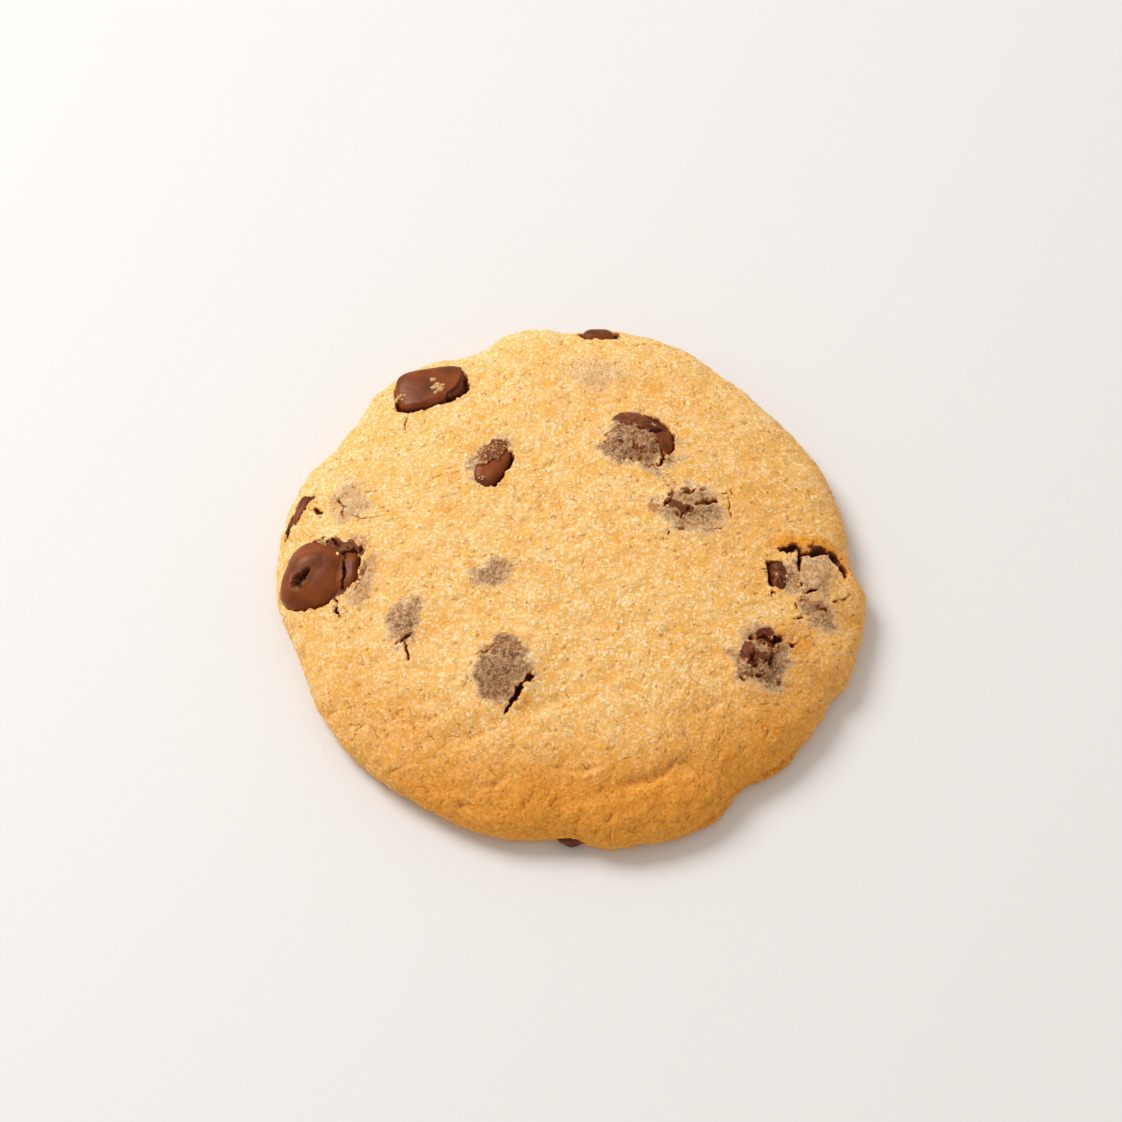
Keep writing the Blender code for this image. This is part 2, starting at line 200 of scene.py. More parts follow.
# Where a thin skin covers a chip, and where it is torn: place, half length, half width, turn
SKINS = {
    "chip_upper_right": (
        ((0.0078, 0.0158), 0.0056, 0.0034, -30),
        ((0.0110, 0.0147), 0.0018, 0.0020, 0),
    ),
    "chip_middle_right": (((0.0152, 0.0068), 0.0056, 0.0046, -10),),
    "chip_lower_right": (((0.0242, -0.0166), 0.0042, 0.0036, 70),),
    "chip_middle_left": (((-0.0112, 0.0153), 0.0028, 0.0024, 25),),
    "chip_left_rim": (((-0.0352, 0.0079), 0.0028, 0.0009, 60),),
    "chip_right_edge": (((0.0299, -0.0022), 0.0030, 0.0011, 112),),
}
BARE = {
    "chip_lower_right": (((0.0256, -0.0135), 0.0014, 0.0007, 0),),
}

# Lumps that stand apart from what is round them: place, half length, half width, turn, rise
LUMPS = (
    # At the right edge: the flap and the strip that hang into the crevice, and the patch below it
    ((0.0314, 0.0012), 0.0008, 0.0008, 0, 0.00025),
    ((0.0293, -0.0018), 0.0021, 0.0007, -62, 0.00025),
    ((0.0310, -0.0071), 0.0013, 0.0008, -25, 0.00030),
    ((0.0334, -0.0090), 0.0012, 0.0009, -50, 0.00025),
    # The broken chip at the lower right
    ((0.0230, -0.0151), 0.0014, 0.0010, 80, 0.00035),
    ((0.0250, -0.0157), 0.0011, 0.0009, 30, 0.00035),
    ((0.0267, -0.0150), 0.0009, 0.0005, 80, 0.00025),
    ((0.0268, -0.0166), 0.0006, 0.0005, 0, 0.00025),
    ((0.0225, -0.0180), 0.0011, 0.0009, 20, 0.00030),
    ((0.0252, -0.0178), 0.0010, 0.0008, -10, 0.00030),
    # The crusted chip right of the middle
    ((0.0131, 0.0068), 0.0006, 0.0004, 40, 0.00020),
    ((0.0143, 0.0077), 0.0004, 0.0007, 0, 0.00020),
    ((0.0157, 0.0071), 0.0011, 0.0006, 0, 0.00015),
    ((0.0190, 0.0083), 0.0010, 0.0010, 0, 0.00020),
    ((0.0197, 0.0063), 0.0012, 0.0007, 20, 0.00015),
    ((0.0179, 0.0057), 0.0007, 0.0005, 0, 0.00020),
    ((0.0126, 0.0028), 0.0005, 0.0005, 0, 0.00020),
    # The large chip over it
    ((0.0060, 0.0184), 0.0009, 0.0006, 10, 0.00015),
    ((0.0050, 0.0174), 0.0006, 0.0005, 30, 0.00020),
    ((0.0105, 0.0152), 0.0010, 0.0006, -20, 0.00015),
    ((0.0108, 0.0137), 0.0009, 0.0005, 10, 0.00015),
    ((0.0088, 0.0143), 0.0006, 0.0004, 0, 0.00015),
    # The pale lumps on the left shoulder
    ((-0.0291, 0.0092), 0.0010, 0.0008, 60, 0.00020),
    ((-0.0309, 0.0092), 0.0009, 0.0008, 0, 0.00020),
    ((-0.0276, 0.0074), 0.0012, 0.0008, 20, 0.00020),
    # The lip of crust behind the slab
    ((-0.0192, 0.0303), 0.0034, 0.0008, 12, 0.00030),
)


class Chip:
    """One chip as the frame's solids have it.

    Its middle lies under the crust at its place, down the crust's normal, so that it stands as
    proud as given. Its axes lean towards that normal and are turned about it. The gap round it is
    widest on the given side.
    """

    def __init__(
        self,
        name,
        place,
        half,
        proud,
        turn,
        lean=1.0,
        slab=0.1,
        taper=0.1,
        middle=None,
        gap=0.0002,
        side=None,
    ):
        self.name = name
        self.gap = gap
        self.side = side
        self.half = np.array(half)
        self.exponent = 2 + 4 * slab
        self.taper = taper
        self.phase = 1000 * (half[0] + half[1])
        upright = np.array((0.0, 0.0, 1.0))
        normal = unit(upright + lean * (top_normal(*place) - upright))
        surface = np.array((*place, top_height(*place)))
        self.middle = surface + normal * (proud - half[2]) if middle is None else np.array(middle)
        self.axes = tilt_to(normal) @ turn_about_z(turn)

    def local(self, points):
        """Points from the chip's middle, along its own axes."""
        return (points - self.middle) @ self.axes

    def depth_of(self, points):
        """Distance of points outside the chip's side, and less than none inside it.

        It is the chip's power-sum measure, which is 1 on its skin, less 1, times its half width.
        """
        along, across, up = np.moveaxis(self.local(points) / self.half, -1, 0)
        across = across / (1 - self.taper * np.clip(along, -1, 1))
        n = self.exponent
        measure = (np.abs(along) ** n + np.abs(across) ** n + np.abs(up) ** n) ** (1 / n)
        return (measure - 1) * self.half[1]

    def gap_at(self, points):
        """Width of the dark gap round the chip: a smooth step of the cosine of how far points are
        turned from the side it opens to."""
        if self.side is None:
            return self.gap
        out = points - self.middle
        away = np.arctan2(out[:, 1], out[:, 0]) - math.radians(self.side)
        return self.gap * (1.3 * smoothstep(-0.2, 0.9, np.cos(away)) - 0.3)

    def roof(self, points):
        """Height of the chip's skin straight above or below points, or -1 where there is none.

        It steps down through the chip, and takes the share of the first step that ends inside it.
        """
        levels = self.middle[2] + np.linspace(1.3, 0, ROOF_STEPS) * self.half.max()
        column = np.repeat(points[:, None], len(levels), axis=1)
        column[..., 2] = levels
        depth = self.depth_of(column)
        first = np.argmax(depth < 0, axis=1)
        rows = np.arange(len(points))
        above, below = depth[rows, np.maximum(first - 1, 0)], depth[rows, first]
        share = np.clip(above / np.where(above == below, 1, above - below), 0, 1)
        height = levels[np.maximum(first - 1, 0)] * (1 - share) + levels[first] * share
        return np.where(first > 0, height, -1.0)

    def skin(self, directions):
        """Points of the chip's skin: the ball squared off by the power sum, made uneven by two
        waves and by the bells of its own swells, tapered and scaled."""
        x, y, z = directions.T
        n = self.exponent
        square = (np.abs(x) ** n + np.abs(y) ** n + np.abs(z) ** n) ** (1 / n)
        wave = np.sin(3.1 * x + 1.7 * y + self.phase) + np.cos(2.7 * y - 2.2 * z + 2 * self.phase)
        swell = 1 + CHIP_WAVE * wave
        for towards, width, amount in CHIP_SWELLS.get(self.name, ()):
            swell = swell + amount * np.exp((directions @ unit(np.array(towards)) - 1) / width)
        swell = swell / square
        local = np.stack((x * swell, y * swell * (1 - self.taper * x), z * swell), axis=-1)
        return (local * self.half) @ self.axes.T + self.middle


def unit(vectors):
    """Vectors scaled to length 1."""
    return vectors / np.linalg.norm(vectors, axis=-1, keepdims=True)


def turn_about_z(angle):
    """The turn about +Z by an angle, from its cosine and sine."""
    c, s = math.cos(math.radians(angle)), math.sin(math.radians(angle))
    return np.array(((c, -s, 0), (s, c, 0), (0, 0, 1)))


def tilt_to(normal):
    """The smallest turn that carries +Z onto the normal: I + K + K K / (1 + cos)."""
    x, y, z = normal
    k = np.array(((0, 0, x), (0, 0, y), (-x, -y, 0)))
    return np.eye(3) + k + k @ k / (1 + z)


def smoothstep(low, high, value):
    """0 up to low, 1 from high on, and 3 t squared less 2 t cubed at a share t of the way."""
    t = np.clip((value - low) / (high - low), 0, 1)
    return t * t * (3 - 2 * t)


# Noise on a cubic lattice, from one shuffled table, one of random slopes and one of random spots
DRAW = np.random.default_rng(7)
SHUFFLED = DRAW.permutation(256)
SLOPES = unit(DRAW.normal(size=(256, 3)))
SPOTS = DRAW.random((256, 3))


def shuffled(cells, seed):
    """A number from 0 to 255 for each lattice cell: its coordinates run through the table."""
    x, y, z = np.moveaxis((cells + 37 * seed) & 255, -1, 0)
    return SHUFFLED[(SHUFFLED[(SHUFFLED[x] + y) & 255] + z) & 255]


def smooth_noise(points, size, seed):
    """Gradient noise, about -1 to 1: random slopes at a lattice's corners, blended smoothly."""
    spot = points / size
    cell = np.floor(spot).astype(int)
    inside = spot - cell
    blend = inside**3 * (inside * (inside * 6 - 15) + 10)
    total = np.zeros(len(points))
    for corner in itertools.product((0, 1), repeat=3):
        slope = SLOPES[shuffled(cell + corner, seed)]
        share = np.prod(np.where(np.array(corner) == 1, blend, 1 - blend), axis=-1)
        total += share * ((inside - corner) * slope).sum(-1)
    return NOISE_REACH * total


def layered_noise(points, size, seed, layers=3):
    """Gradient noise summed over layers, each half the size and height of the one before."""
    return sum(smooth_noise(points, size / 2**n, seed + n) / 2**n for n in range(layers))


def drift(points, size, seed):
    """Three gradient noises at each point, as the vector that it drifts by."""
    return np.stack([smooth_noise(points, size, seed + n) for n in range(3)], -1)


def grain_cells(points, size, seed):
    """Cellular noise: how far the nearest random spot is, in sizes, and that spot's own tone."""
    spot = points / size
    cell = np.floor(spot).astype(int)
    nearest = np.full(len(points), 9.0)
    tone = np.zeros(len(points))
    for step in itertools.product((-1, 0, 1), repeat=3):
        number = shuffled(cell + step, seed)
        away = np.linalg.norm(cell + step + SPOTS[number] - spot, axis=-1)
        closer = away < nearest
        tone = np.where(closer, number / 255, tone)
        nearest = np.where(closer, away, nearest)
    return nearest, tone


def swelling(clock, swells):
    """The sum of the swells at clock angles: each is half the difference of two tanh steps, full
    inside its arc and fading out beyond it."""
    total = 0.0
    for start, end, amount, softness in swells:
        away = (clock - (start + end) / 2 + 180) % 360 - 180
        half = (end - start) / 2
        step_in = np.tanh((away + half) / softness)
        step_out = np.tanh((away - half) / softness)
        total = total + amount * 0.5 * (step_in - step_out)
    return total


def rim_radius(clock):
    """How far the rim is from the middle at clock angles: the round's radius and its swells."""
    return ROUND_RADIUS + swelling(clock, RIM_SWELLS)


def way_out(x, y):
    """The share of the way from the middle out to the rim, at places in plan."""
    return np.hypot(x, y) / rim_radius(np.degrees(np.arctan2(y, x)))


def facing(x, y, clock):
    """How much places lie towards a clock angle, from 0 to 1: half of 1 plus the cosine of the turn
    from it."""
    return 0.5 + 0.5 * np.cos(np.arctan2(y, x) - math.radians(clock))


def oval_measure(x, y, place, half_length, half_width, turn):
    """Squared distance from an oval's middle, in its half sizes along and across its turn."""
    c, s = math.cos(math.radians(turn)), math.sin(math.radians(turn))
    along = ((x - place[0]) * c + (y - place[1]) * s) / half_length
    across = ((y - place[1]) * c - (x - place[0]) * s) / half_width
    return along**2 + across**2


def distance_to_path(x, y, path):
    """The shortest distance in plan to a path's legs, and how far along it that is, from 0 to 1."""
    shortest = np.full(np.shape(x), np.inf)
    where = np.zeros(np.shape(x))
    legs = list(zip(path, path[1:]))
    for n, (start, end) in enumerate(legs):
        run = np.subtract(end, start)
        share = np.clip(((x - start[0]) * run[0] + (y - start[1]) * run[1]) / (run @ run), 0, 1)
        away = np.hypot(x - start[0] - share * run[0], y - start[1] - share * run[1])
        where = np.where(away < shortest, (n + share) / len(legs), where)
        shortest = np.minimum(shortest, away)
    return shortest, where


def broad_relief(x, y):
    """The solids' own relief: shallow waves, bell-shaped mounds and bell-shaped creases."""
    wave = np.sin(210 * x + 0.6) * np.cos(170 * y - 0.4) + 0.6 * np.sin(330 * y + 250 * x + 1.1)
    height = 0.00018 * wave
    for place, rise, half_length, half_width, turn in MOUNDS:
        height = height + rise * np.exp(-oval_measure(x, y, place, half_length, half_width, turn))
    for path, depth, half_width in CREASES:
        height = height - depth * np.exp(-((distance_to_path(x, y, path)[0] / half_width) ** 2))
    return height


def dome(reach):
    """Height of the plain dome over the rim line, 1 at the middle and 0 at the rim: 1 less a power
    of the reach, the share of the way out, raised to the shoulder's power."""
    return (1 - np.minimum(reach, 1.0) ** DOME_FULLNESS) ** SHOULDER


def top_height(x, y):
    """Height of the dough's top: the rim line, the dome over it and the broad relief."""
    return RIM_HEIGHT + (HEIGHT - RIM_HEIGHT) * dome(way_out(x, y)) + broad_relief(x, y)


def top_normal(x, y):
    """The upward normal of the dough's top, from heights a millimetre apart."""
    step = 0.001
    rise_x = (top_height(x + step, y) - top_height(x - step, y)) / (2 * step)
    rise_y = (top_height(x, y + step) - top_height(x, y - step)) / (2 * step)
    return unit(np.array((-rise_x, -rise_y, 1)))


# The chips as the frame's solids have them: name, place, half length, half width and half height
CHIPS = (
    Chip("chip_left", (-0.0342, -0.0021), (0.0050, 0.0044, 0.0034), proud=0.0013, turn=80,
         lean=0.35, slab=0.15, gap=0.0005, side=-85),
    Chip("chip_left_lobe", (-0.0299, -0.0025), (0.0034, 0.0021, 0.0022), proud=0.0006, turn=80,
         lean=0.5, gap=0.0003, side=20),
    Chip("chip_top_left", (-0.0194, 0.0273), (0.0053, 0.0034, 0.0017), proud=0.0011, turn=12,
         lean=0.45, slab=0.45, gap=0.0003, side=-75),
    Chip("chip_middle_left", (-0.0108, 0.0128), (0.0036, 0.0022, 0.0017), proud=0.0005, turn=70,
         slab=0.2, taper=-0.2, gap=0.0005, side=-25),
    Chip("chip_upper_right", (0.0093, 0.0174), (0.0049, 0.0042, 0.0024), proud=0.0009, turn=-25,
         gap=0.0005, side=15),
    Chip("chip_middle_right", (0.0150, 0.0070), (0.0038, 0.0028, 0.0019), proud=0.0005, turn=-10),
    Chip("chip_right_edge", (0.0278, -0.0034), (0.0023, 0.0013, 0.0016), proud=0.0004, turn=95,
         taper=0, gap=0.0005, side=180),
    Chip("chip_lower_right", (0.0245, -0.0160), (0.0033, 0.0027, 0.0020), proud=0.0005, turn=70,
         gap=0.0004, side=60),
    Chip("chip_back_rim", (0.0041, 0.0380), (0.0027, 0.0017, 0.0015), proud=0.0005, turn=-5,
         taper=0),
    Chip("chip_left_rim", (-0.0368, 0.0086), (0.0026, 0.0010, 0.0013), proud=0.0003, turn=72,
         taper=0, gap=0.0003, side=0),
    Chip("chip_front_under", (0, -0.03), (0.0019, 0.0013, 0.0011), proud=0, turn=0,
         lean=0, taper=0, middle=(0.0002, -0.0379, 0.0016)),
)

# Swells of a chip's own: towards (along it, across it, up), how wide, how much
CHIP_SWELLS = {
    "chip_left": (
        ((0.50, -0.85, 0.1), 0.22, 0.16),
        ((-0.55, -0.80, 0.1), 0.20, 0.05),
        ((-0.8, 0.6, 0.1), 0.2, 0.04),
    ),
    "chip_left_lobe": (((0.1, 0.9, 0.5), 0.30, -0.22), ((-0.7, -0.5, 0.4), 0.20, -0.06)),
    "chip_top_left": (
        ((-0.80, 0.60, 0.1), 0.10, -0.26),
        ((0.85, -0.50, 0.0), 0.05, 0.05),
        ((0.3, -0.95, 0.1), 0.15, -0.08),
    ),
    "chip_middle_left": (((0.95, 0.10, 0.1), 0.10, -0.08), ((-0.90, 0.40, 0.1), 0.10, -0.05)),
    "chip_back_rim": (((1.0, 0.0, 0.2), 0.20, -0.22), ((-1.0, 0.0, 0.2), 0.20, -0.22)),
}
# Tears in a chip's skin: points along each, half width at its start and at its end, depth
CHIP_TEARS = {
    "chip_left": (
        (
            ((-0.0363, -0.0041), (-0.0359, -0.0037), (-0.0352, -0.0028), (-0.0346, -0.0019)),
            0.0009,
            0.0,
            0.0014,
        ),
    ),
    "chip_left_lobe": (
        (
            ((-0.0300, 0.0000), (-0.0300, -0.0020), (-0.0302, -0.0045), (-0.0306, -0.0066)),
            0.0002,
            0.0002,
            0.0009,
        ),
    ),
    "chip_upper_right": (
        (((0.0094, 0.0185), (0.0104, 0.0179), (0.0108, 0.0174)), 0.0003, 0.0005, 0.0008),
        (((0.0108, 0.0174), (0.0116, 0.0181), (0.0126, 0.0188)), 0.0005, 0.0004, 0.0008),
    ),
}
# Raised lines on a chip: points along each, half width, rise
CHIP_RIDGES = {
    "chip_left": (
        (((-0.0346, -0.0019), (-0.0351, -0.0034), (-0.0360, -0.0054)), 0.0006, 0.00016),
        (
            ((-0.0374, -0.0020), (-0.0352, -0.0008), (-0.0332, -0.0003), (-0.0308, -0.0010)),
            0.0014,
            0.00055,
        ),
    ),
    "chip_top_left": (
        (((-0.0155, 0.0288), (-0.0160, 0.0268)), 0.0003, 0.00022),
        (((-0.0232, 0.0240), (-0.0205, 0.0243), (-0.0175, 0.0256)), 0.0003, 0.00015),
    ),
    "chip_left_lobe": (
        (((-0.0288, -0.0008), (-0.0289, -0.0033), (-0.0295, -0.0055)), 0.0004, 0.00022),
    ),
    "chip_upper_right": (
        (((0.0080, 0.0195), (0.0089, 0.0191), (0.0098, 0.0186)), 0.0002, 0.00020),
        (((0.0110, 0.0176), (0.0117, 0.0166)), 0.0002, 0.00015),
    ),
}
# How rough a broken chip's skin is, how rough any other's is, and the roughness between the two. A
# rougher broken chip also takes more painted shade in its broken patches
CHIP_ROUGHNESS = {
    "chip_right_edge": 0.00020,
    "chip_lower_right": 0.00022,
    "chip_upper_right": 0.00011,
    "chip_front_under": 0.00018,
}
PLAIN_ROUGHNESS = 0.00005
BROKEN_ROUGHNESS = 0.0001
# Half the width of the step down into a tear
TEAR_EDGE = 0.0001
# Edges past which a chip drops away on the right, and its side beyond takes painted shade: points
# along each, and how far it drops
CHIP_LEDGES = {
    "chip_left": (
        (
            (
                (-0.0325, 0.0017),
                (-0.0311, 0.0002),
                (-0.0304, -0.0022),
                (-0.0306, -0.0041),
                (-0.0311, -0.0060),
            ),
            0.0009,
        ),
    ),
    "chip_top_left": ((((-0.0152, 0.0290), (-0.0157, 0.0270), (-0.0172, 0.0253)), 0.0004),),
}

# The crust's mesh: cells across, how near a chip or crack they are finer, and rings under it
CRUST_CELLS = 200
FINE_REACH = 0.0007
FINEST_REACH = 0.0003
UNDERSIDE_RINGS = 6

# The chips' meshes: cells across the sheet of one with worked details, and of a plain one
WORKED_CHIP_CELLS = 150
PLAIN_CHIP_CELLS = 90

# The two waves' share of a chip's size, and the steps in which its roof is looked for
CHIP_WAVE = 0.035
ROOF_STEPS = 40

# What carries gradient noise to about -1 to 1
NOISE_REACH = 1.6

# How thick the skin of crust over a covered chip is, and how far the chip has sunk away under it
SKIN_THICKNESS = 0.00010
CHIP_SETTLED = 0.00030

# The tallest that the crust may stand, and how softly taller lumps are pressed down to it
TALLEST = 0.01125
PRESSED = 0.0004

# Pores: how far apart they lie, in that measure their half width, and how deep they are
PORE_SPACING = 0.0011
PORE_HALF_WIDTH = 0.12
PORE_DEPTH = 0.00012

# Fine wandering seams: how deep they are, and their half width in the noise that they follow
SEAM_DEPTH = 0.00016
SEAM_HALF_WIDTH = 0.14

# Fine relief of the crust: sizes and rises of its soft lumps and knobs, and size of its granules
SOFT_LUMP_SIZE = 0.0056
SOFT_LUMP_RISE = 0.00020
KNOB_SIZE = 0.0021
KNOB_RISE = 0.00018
GRANULE_SIZE = 0.0010

# Dimples in the underside: how far apart and how deep
DIMPLE_SIZE = 0.004
DIMPLE_DEPTH = 0.00012

# How far the edges of cracks, lumps and folds are thrown sideways, by noises of these two sizes
JAGGED_REACH = 0.00034
JAGGED_COARSE = 0.0013
JAGGED_FINE = 0.0005

# The pocket round a bare chip: most depth, share of the chip's half height, and reach round it
POCKET_DEPTH = 0.0018
POCKET_SHARE = 0.8
POCKET_REACH = 0.0015


def square_to_disc(p, q):
    """The square -1..1 carried to the unit disc, each square ring made round.

    Returns the distance from the middle, and the turn.
    """
    wide = np.abs(p) >= np.abs(q)
    ring = np.where(wide, p, q)
    safe = np.where(ring == 0, 1, ring)
    turn = np.where(wide, np.pi / 4 * q / safe, np.pi / 2 - np.pi / 4 * p / safe)
    return np.abs(ring), turn + np.where(ring < 0, np.pi, 0)


def graded_sheet(cells, grade):
    """The square -1..1 in triangles: each cell is cut into 2**grade leaves a side, by its own grade.

    A leaf beside a finer cell is a fan from its middle to the points of its sides, so that no edge
    is left open. Returns the points, two coordinates each, and the triangles.
    """
    finest = 2 ** int(grade.max())
    across = cells * finest + 1
    framed = np.pad(grade, 1, mode="edge")
    triangles = []
    for level in range(int(grade.max()) + 1):
        leaf = finest >> level
        cell_i, cell_j = np.nonzero(grade == level)
        steps = np.arange(2**level)
        step_i, step_j = (side.ravel() for side in np.meshgrid(steps, steps, indexing="ij"))
        i = (cell_i[:, None] * finest + step_i * leaf).ravel()
        j = (cell_j[:, None] * finest + step_j * leaf).ravel()

        def finer(side_i, side_j, at_side):
            """Which leaves lie at this side of their cell, with a finer cell beyond it."""
            neighbour = framed[cell_i + 1 + side_i, cell_j + 1 + side_j] > level
            return (neighbour[:, None] & at_side).ravel()

        last = 2**level - 1
        corners = ((0, 0), (leaf, 0), (leaf, leaf), (0, leaf))
        split = (
            finer(0, -1, step_j == 0),
            finer(1, 0, step_i == last),
            finer(0, 1, step_j == last),
            finer(-1, 0, step_i == 0),
        )
        at = [(i + di) * across + j + dj for di, dj in corners]
        plain = ~np.any(split, axis=0)
        triangles.append(np.stack((at[0], at[1], at[2]), -1)[plain])
        triangles.append(np.stack((at[0], at[2], at[3]), -1)[plain])
        middle = (i + leaf // 2) * across + j + leaf // 2
        for side, cut in enumerate(split):
            start, end = at[side], at[(side + 1) % 4]
            halfway = (start + end) // 2
            whole = ~plain & ~cut
            triangles.append(np.stack((middle, start, end), -1)[whole])
            triangles.append(np.stack((middle, start, halfway), -1)[cut])
            triangles.append(np.stack((middle, halfway, end), -1)[cut])
    used, triangles = np.unique(np.concatenate(triangles), return_inverse=True)
    points = np.stack((used // across, used % across), -1) / (across - 1) * 2 - 1
    return points, triangles.reshape(-1, 3)


def crust_profile():
    """The profile from the middle of the top, over the rim and under to the underside's edge.

    It is a quarter turn's sine out under the dome, and a quarter ring in below the rim line. Returns
    the reach and level of points along it, as shares, and how far along it each is, from 0 to 1.
    """
    swing = np.linspace(0, np.pi / 2, 400)
    tuck = np.linspace(0, np.pi / 2, 60)[1:]
    inset = UNDERSIDE_INSET / ROUND_RADIUS
    reach = np.concatenate((np.sin(swing), 1 - inset * (1 - np.cos(tuck))))
    level = np.concatenate((dome(np.sin(swing)), -np.sin(tuck)))
    on_top = RIM_HEIGHT + (HEIGHT - RIM_HEIGHT) * level
    height = np.where(level >= 0, on_top, RIM_HEIGHT * (1 + level))
    steps = np.hypot(np.diff(reach * ROUND_RADIUS), np.diff(height))
    walked = np.concatenate(((0,), np.cumsum(steps)))
    return reach, level, walked / walked[-1]


PROFILE_REACH, PROFILE_LEVEL, PROFILE_WALKED = crust_profile()


def smooth_crust(p, q):
    """Points of the crust before its fine relief, and their level.

    The profile is carried round the uneven rim, the broad relief is added on top, and below the rim
    line the foot swells out by one wave of a sine.
    """
    out, turn = square_to_disc(p, q)
    clock = np.degrees(turn)
    reach = np.interp(out, PROFILE_WALKED, PROFILE_REACH)
    level = np.interp(out, PROFILE_WALKED, PROFILE_LEVEL)
    foot = np.where(level < 0, -np.sin(2 * np.pi * np.minimum(-level / 0.9, 1)), 0)
    radius = reach * rim_radius(clock) + foot * swelling(clock, FOOT_SWELLS)
    x, y = radius * np.cos(turn), radius * np.sin(turn)
    on_top = RIM_HEIGHT + (HEIGHT - RIM_HEIGHT) * level + (1 - reach**12) * broad_relief(x, y)
    return np.stack((x, y, np.where(level >= 0, on_top, RIM_HEIGHT * (1 + level))), -1), level


def crust_normals(p, q):
    """Outward normals, from the cross product of two short steps over the smooth crust."""
    step = 0.002
    low_p, high_p = np.maximum(p - step, -1), np.minimum(p + step, 1)
    low_q, high_q = np.maximum(q - step, -1), np.minimum(q + step, 1)
    along_p = smooth_crust(high_p, q)[0] - smooth_crust(low_p, q)[0]
    along_q = smooth_crust(p, high_q)[0] - smooth_crust(p, low_q)[0]
    return unit(np.cross(along_p, along_q))


def feature_distance(points):
    """How far points of the crust are from the nearest chip's side, crack or fold."""
    x, y = jagged(points)
    nearest = np.full(len(points), 1.0)
    for chip in CHIPS:
        outside = chip.depth_of(points) - chip.gap_at(points) / 2
        away = np.maximum(outside, 0) if chip.name in SKINS else np.abs(outside)
        nearest = np.minimum(nearest, away)
    for path, width, _ in CRACKS:
        nearest = np.minimum(nearest, distance_to_path(x, y, path)[0] - width / 2)
    for path, width, _ in FOLDS:
        nearest = np.minimum(nearest, distance_to_path(x, y, path)[0] + FINEST_REACH)
    return nearest


def jagged(points):
    """Points shifted sideways by a coarse and a fine noise, so that a line across them is ragged."""
    shift = [
        smooth_noise(points, JAGGED_COARSE, seed) + 0.6 * smooth_noise(points, JAGGED_FINE, seed + 5)
        for seed in (21, 22)
    ]
    return points[:, 0] + JAGGED_REACH * shift[0], points[:, 1] + JAGGED_REACH * shift[1]


def crack_depth(points):
    """Depth of the named cracks, and how far their lips are raised.

    A crack is a ragged V along its path, shallower towards its ends, and a lip is a bell beside it.
    """
    x, y = jagged(points)
    depth = np.zeros(len(points))
    lip = np.zeros(len(points))
    for path, width, deepest in CRACKS:
        away, along = distance_to_path(x, y, path)
        ends = 0.35 + 0.65 * np.sin(np.pi * along) ** 0.5
        depth = np.maximum(depth, deepest * ends * (1 - smoothstep(0, 0.75 * width * ends, away)))
        beside = np.exp(-(((away - 1.2 * width) / (1.1 * width)) ** 2))
        lip = np.maximum(lip, 0.12 * deepest * ends * beside)
    return depth, lip


def lump_rise(points):
    """Rise of the named lumps, and how much of a lump each point is.

    A lump rises by 1 less the fourth power of the distance from its middle: level on top, and steep
    at its oval's edge.
    """
    x, y = jagged(points)
    rise = np.zeros(len(points))
    share = np.zeros(len(points))
    for place, half_length, half_width, turn, height in LUMPS:
        measure = oval_measure(x, y, place, half_length, half_width, turn)
        rise = np.maximum(rise, height * np.clip(1 - measure**2, 0, 1))
        share = np.maximum(share, 1 - smoothstep(0.65, 1.1, measure))
    return rise, share


def fold_depth(points):
    """Depth of the shallow folds in the front of the crust: a bell across each path, and a sine
    along it that leaves its ends shallow."""
    x, y = jagged(points)
    depth = np.zeros(len(points))
    for path, width, deepest in FOLDS:
        away, along = distance_to_path(x, y, path)
        ends = np.sin(np.pi * (0.1 + 0.8 * along))
        depth = np.maximum(depth, deepest * ends * np.exp(-((away / width) ** 2)))
    return depth


def rim_share(points):
    """How far out on the front and right points are, where the crust is rougher, from 0 to 1."""
    x, y = points[:, 0], points[:, 1]
    return smoothstep(0.45, 1.0, way_out(x, y)) * facing(x, y, -50)


def seam_fields(points):
    """The fine seams that wander over the crust: a warped noise whose zero lines they follow, and
    how open they are there."""
    warped = points + 0.0005 * drift(points, 0.0018, 91) + 0.00016 * drift(points, 0.0007, 98)
    line = smooth_noise(warped, 0.0032, 94)
    opened = smooth_noise(points, 0.0014, 95) + 0.25 * rim_share(points)
    return line, smoothstep(0.34, 0.54, opened)


def pore_share(points):
    """How near points are to a pore, from 0 to 1: a pore is a random spot of cellular noise that
    lies by the crust."""
    nearest, tone = grain_cells(points, PORE_SPACING, 97)
    near = 1 - smoothstep(PORE_HALF_WIDTH, 2 * PORE_HALF_WIDTH, nearest)
    return near * smoothstep(0.3, 0.7, tone)


def covering(chip, points):
    """How far a thin skin of crust still covers a chip: inside its covering ovals, but not in its
    bare ones, with ragged edges."""
    x, y = points[:, 0], points[:, 1]
    ragged = 0.30 * layered_noise(points, 0.0012, 81)
    share = []
    for ovals in (SKINS.get(chip.name, ()), BARE.get(chip.name, ())):
        inside = np.zeros(len(points))
        for place, half_length, half_width, turn in ovals:
            measure = np.sqrt(oval_measure(x, y, place, half_length, half_width, turn)) + ragged
            inside = np.maximum(inside, 1 - smoothstep(0.90, 1.10, measure))
        share.append(inside)
    return share[0] * (1 - share[1])


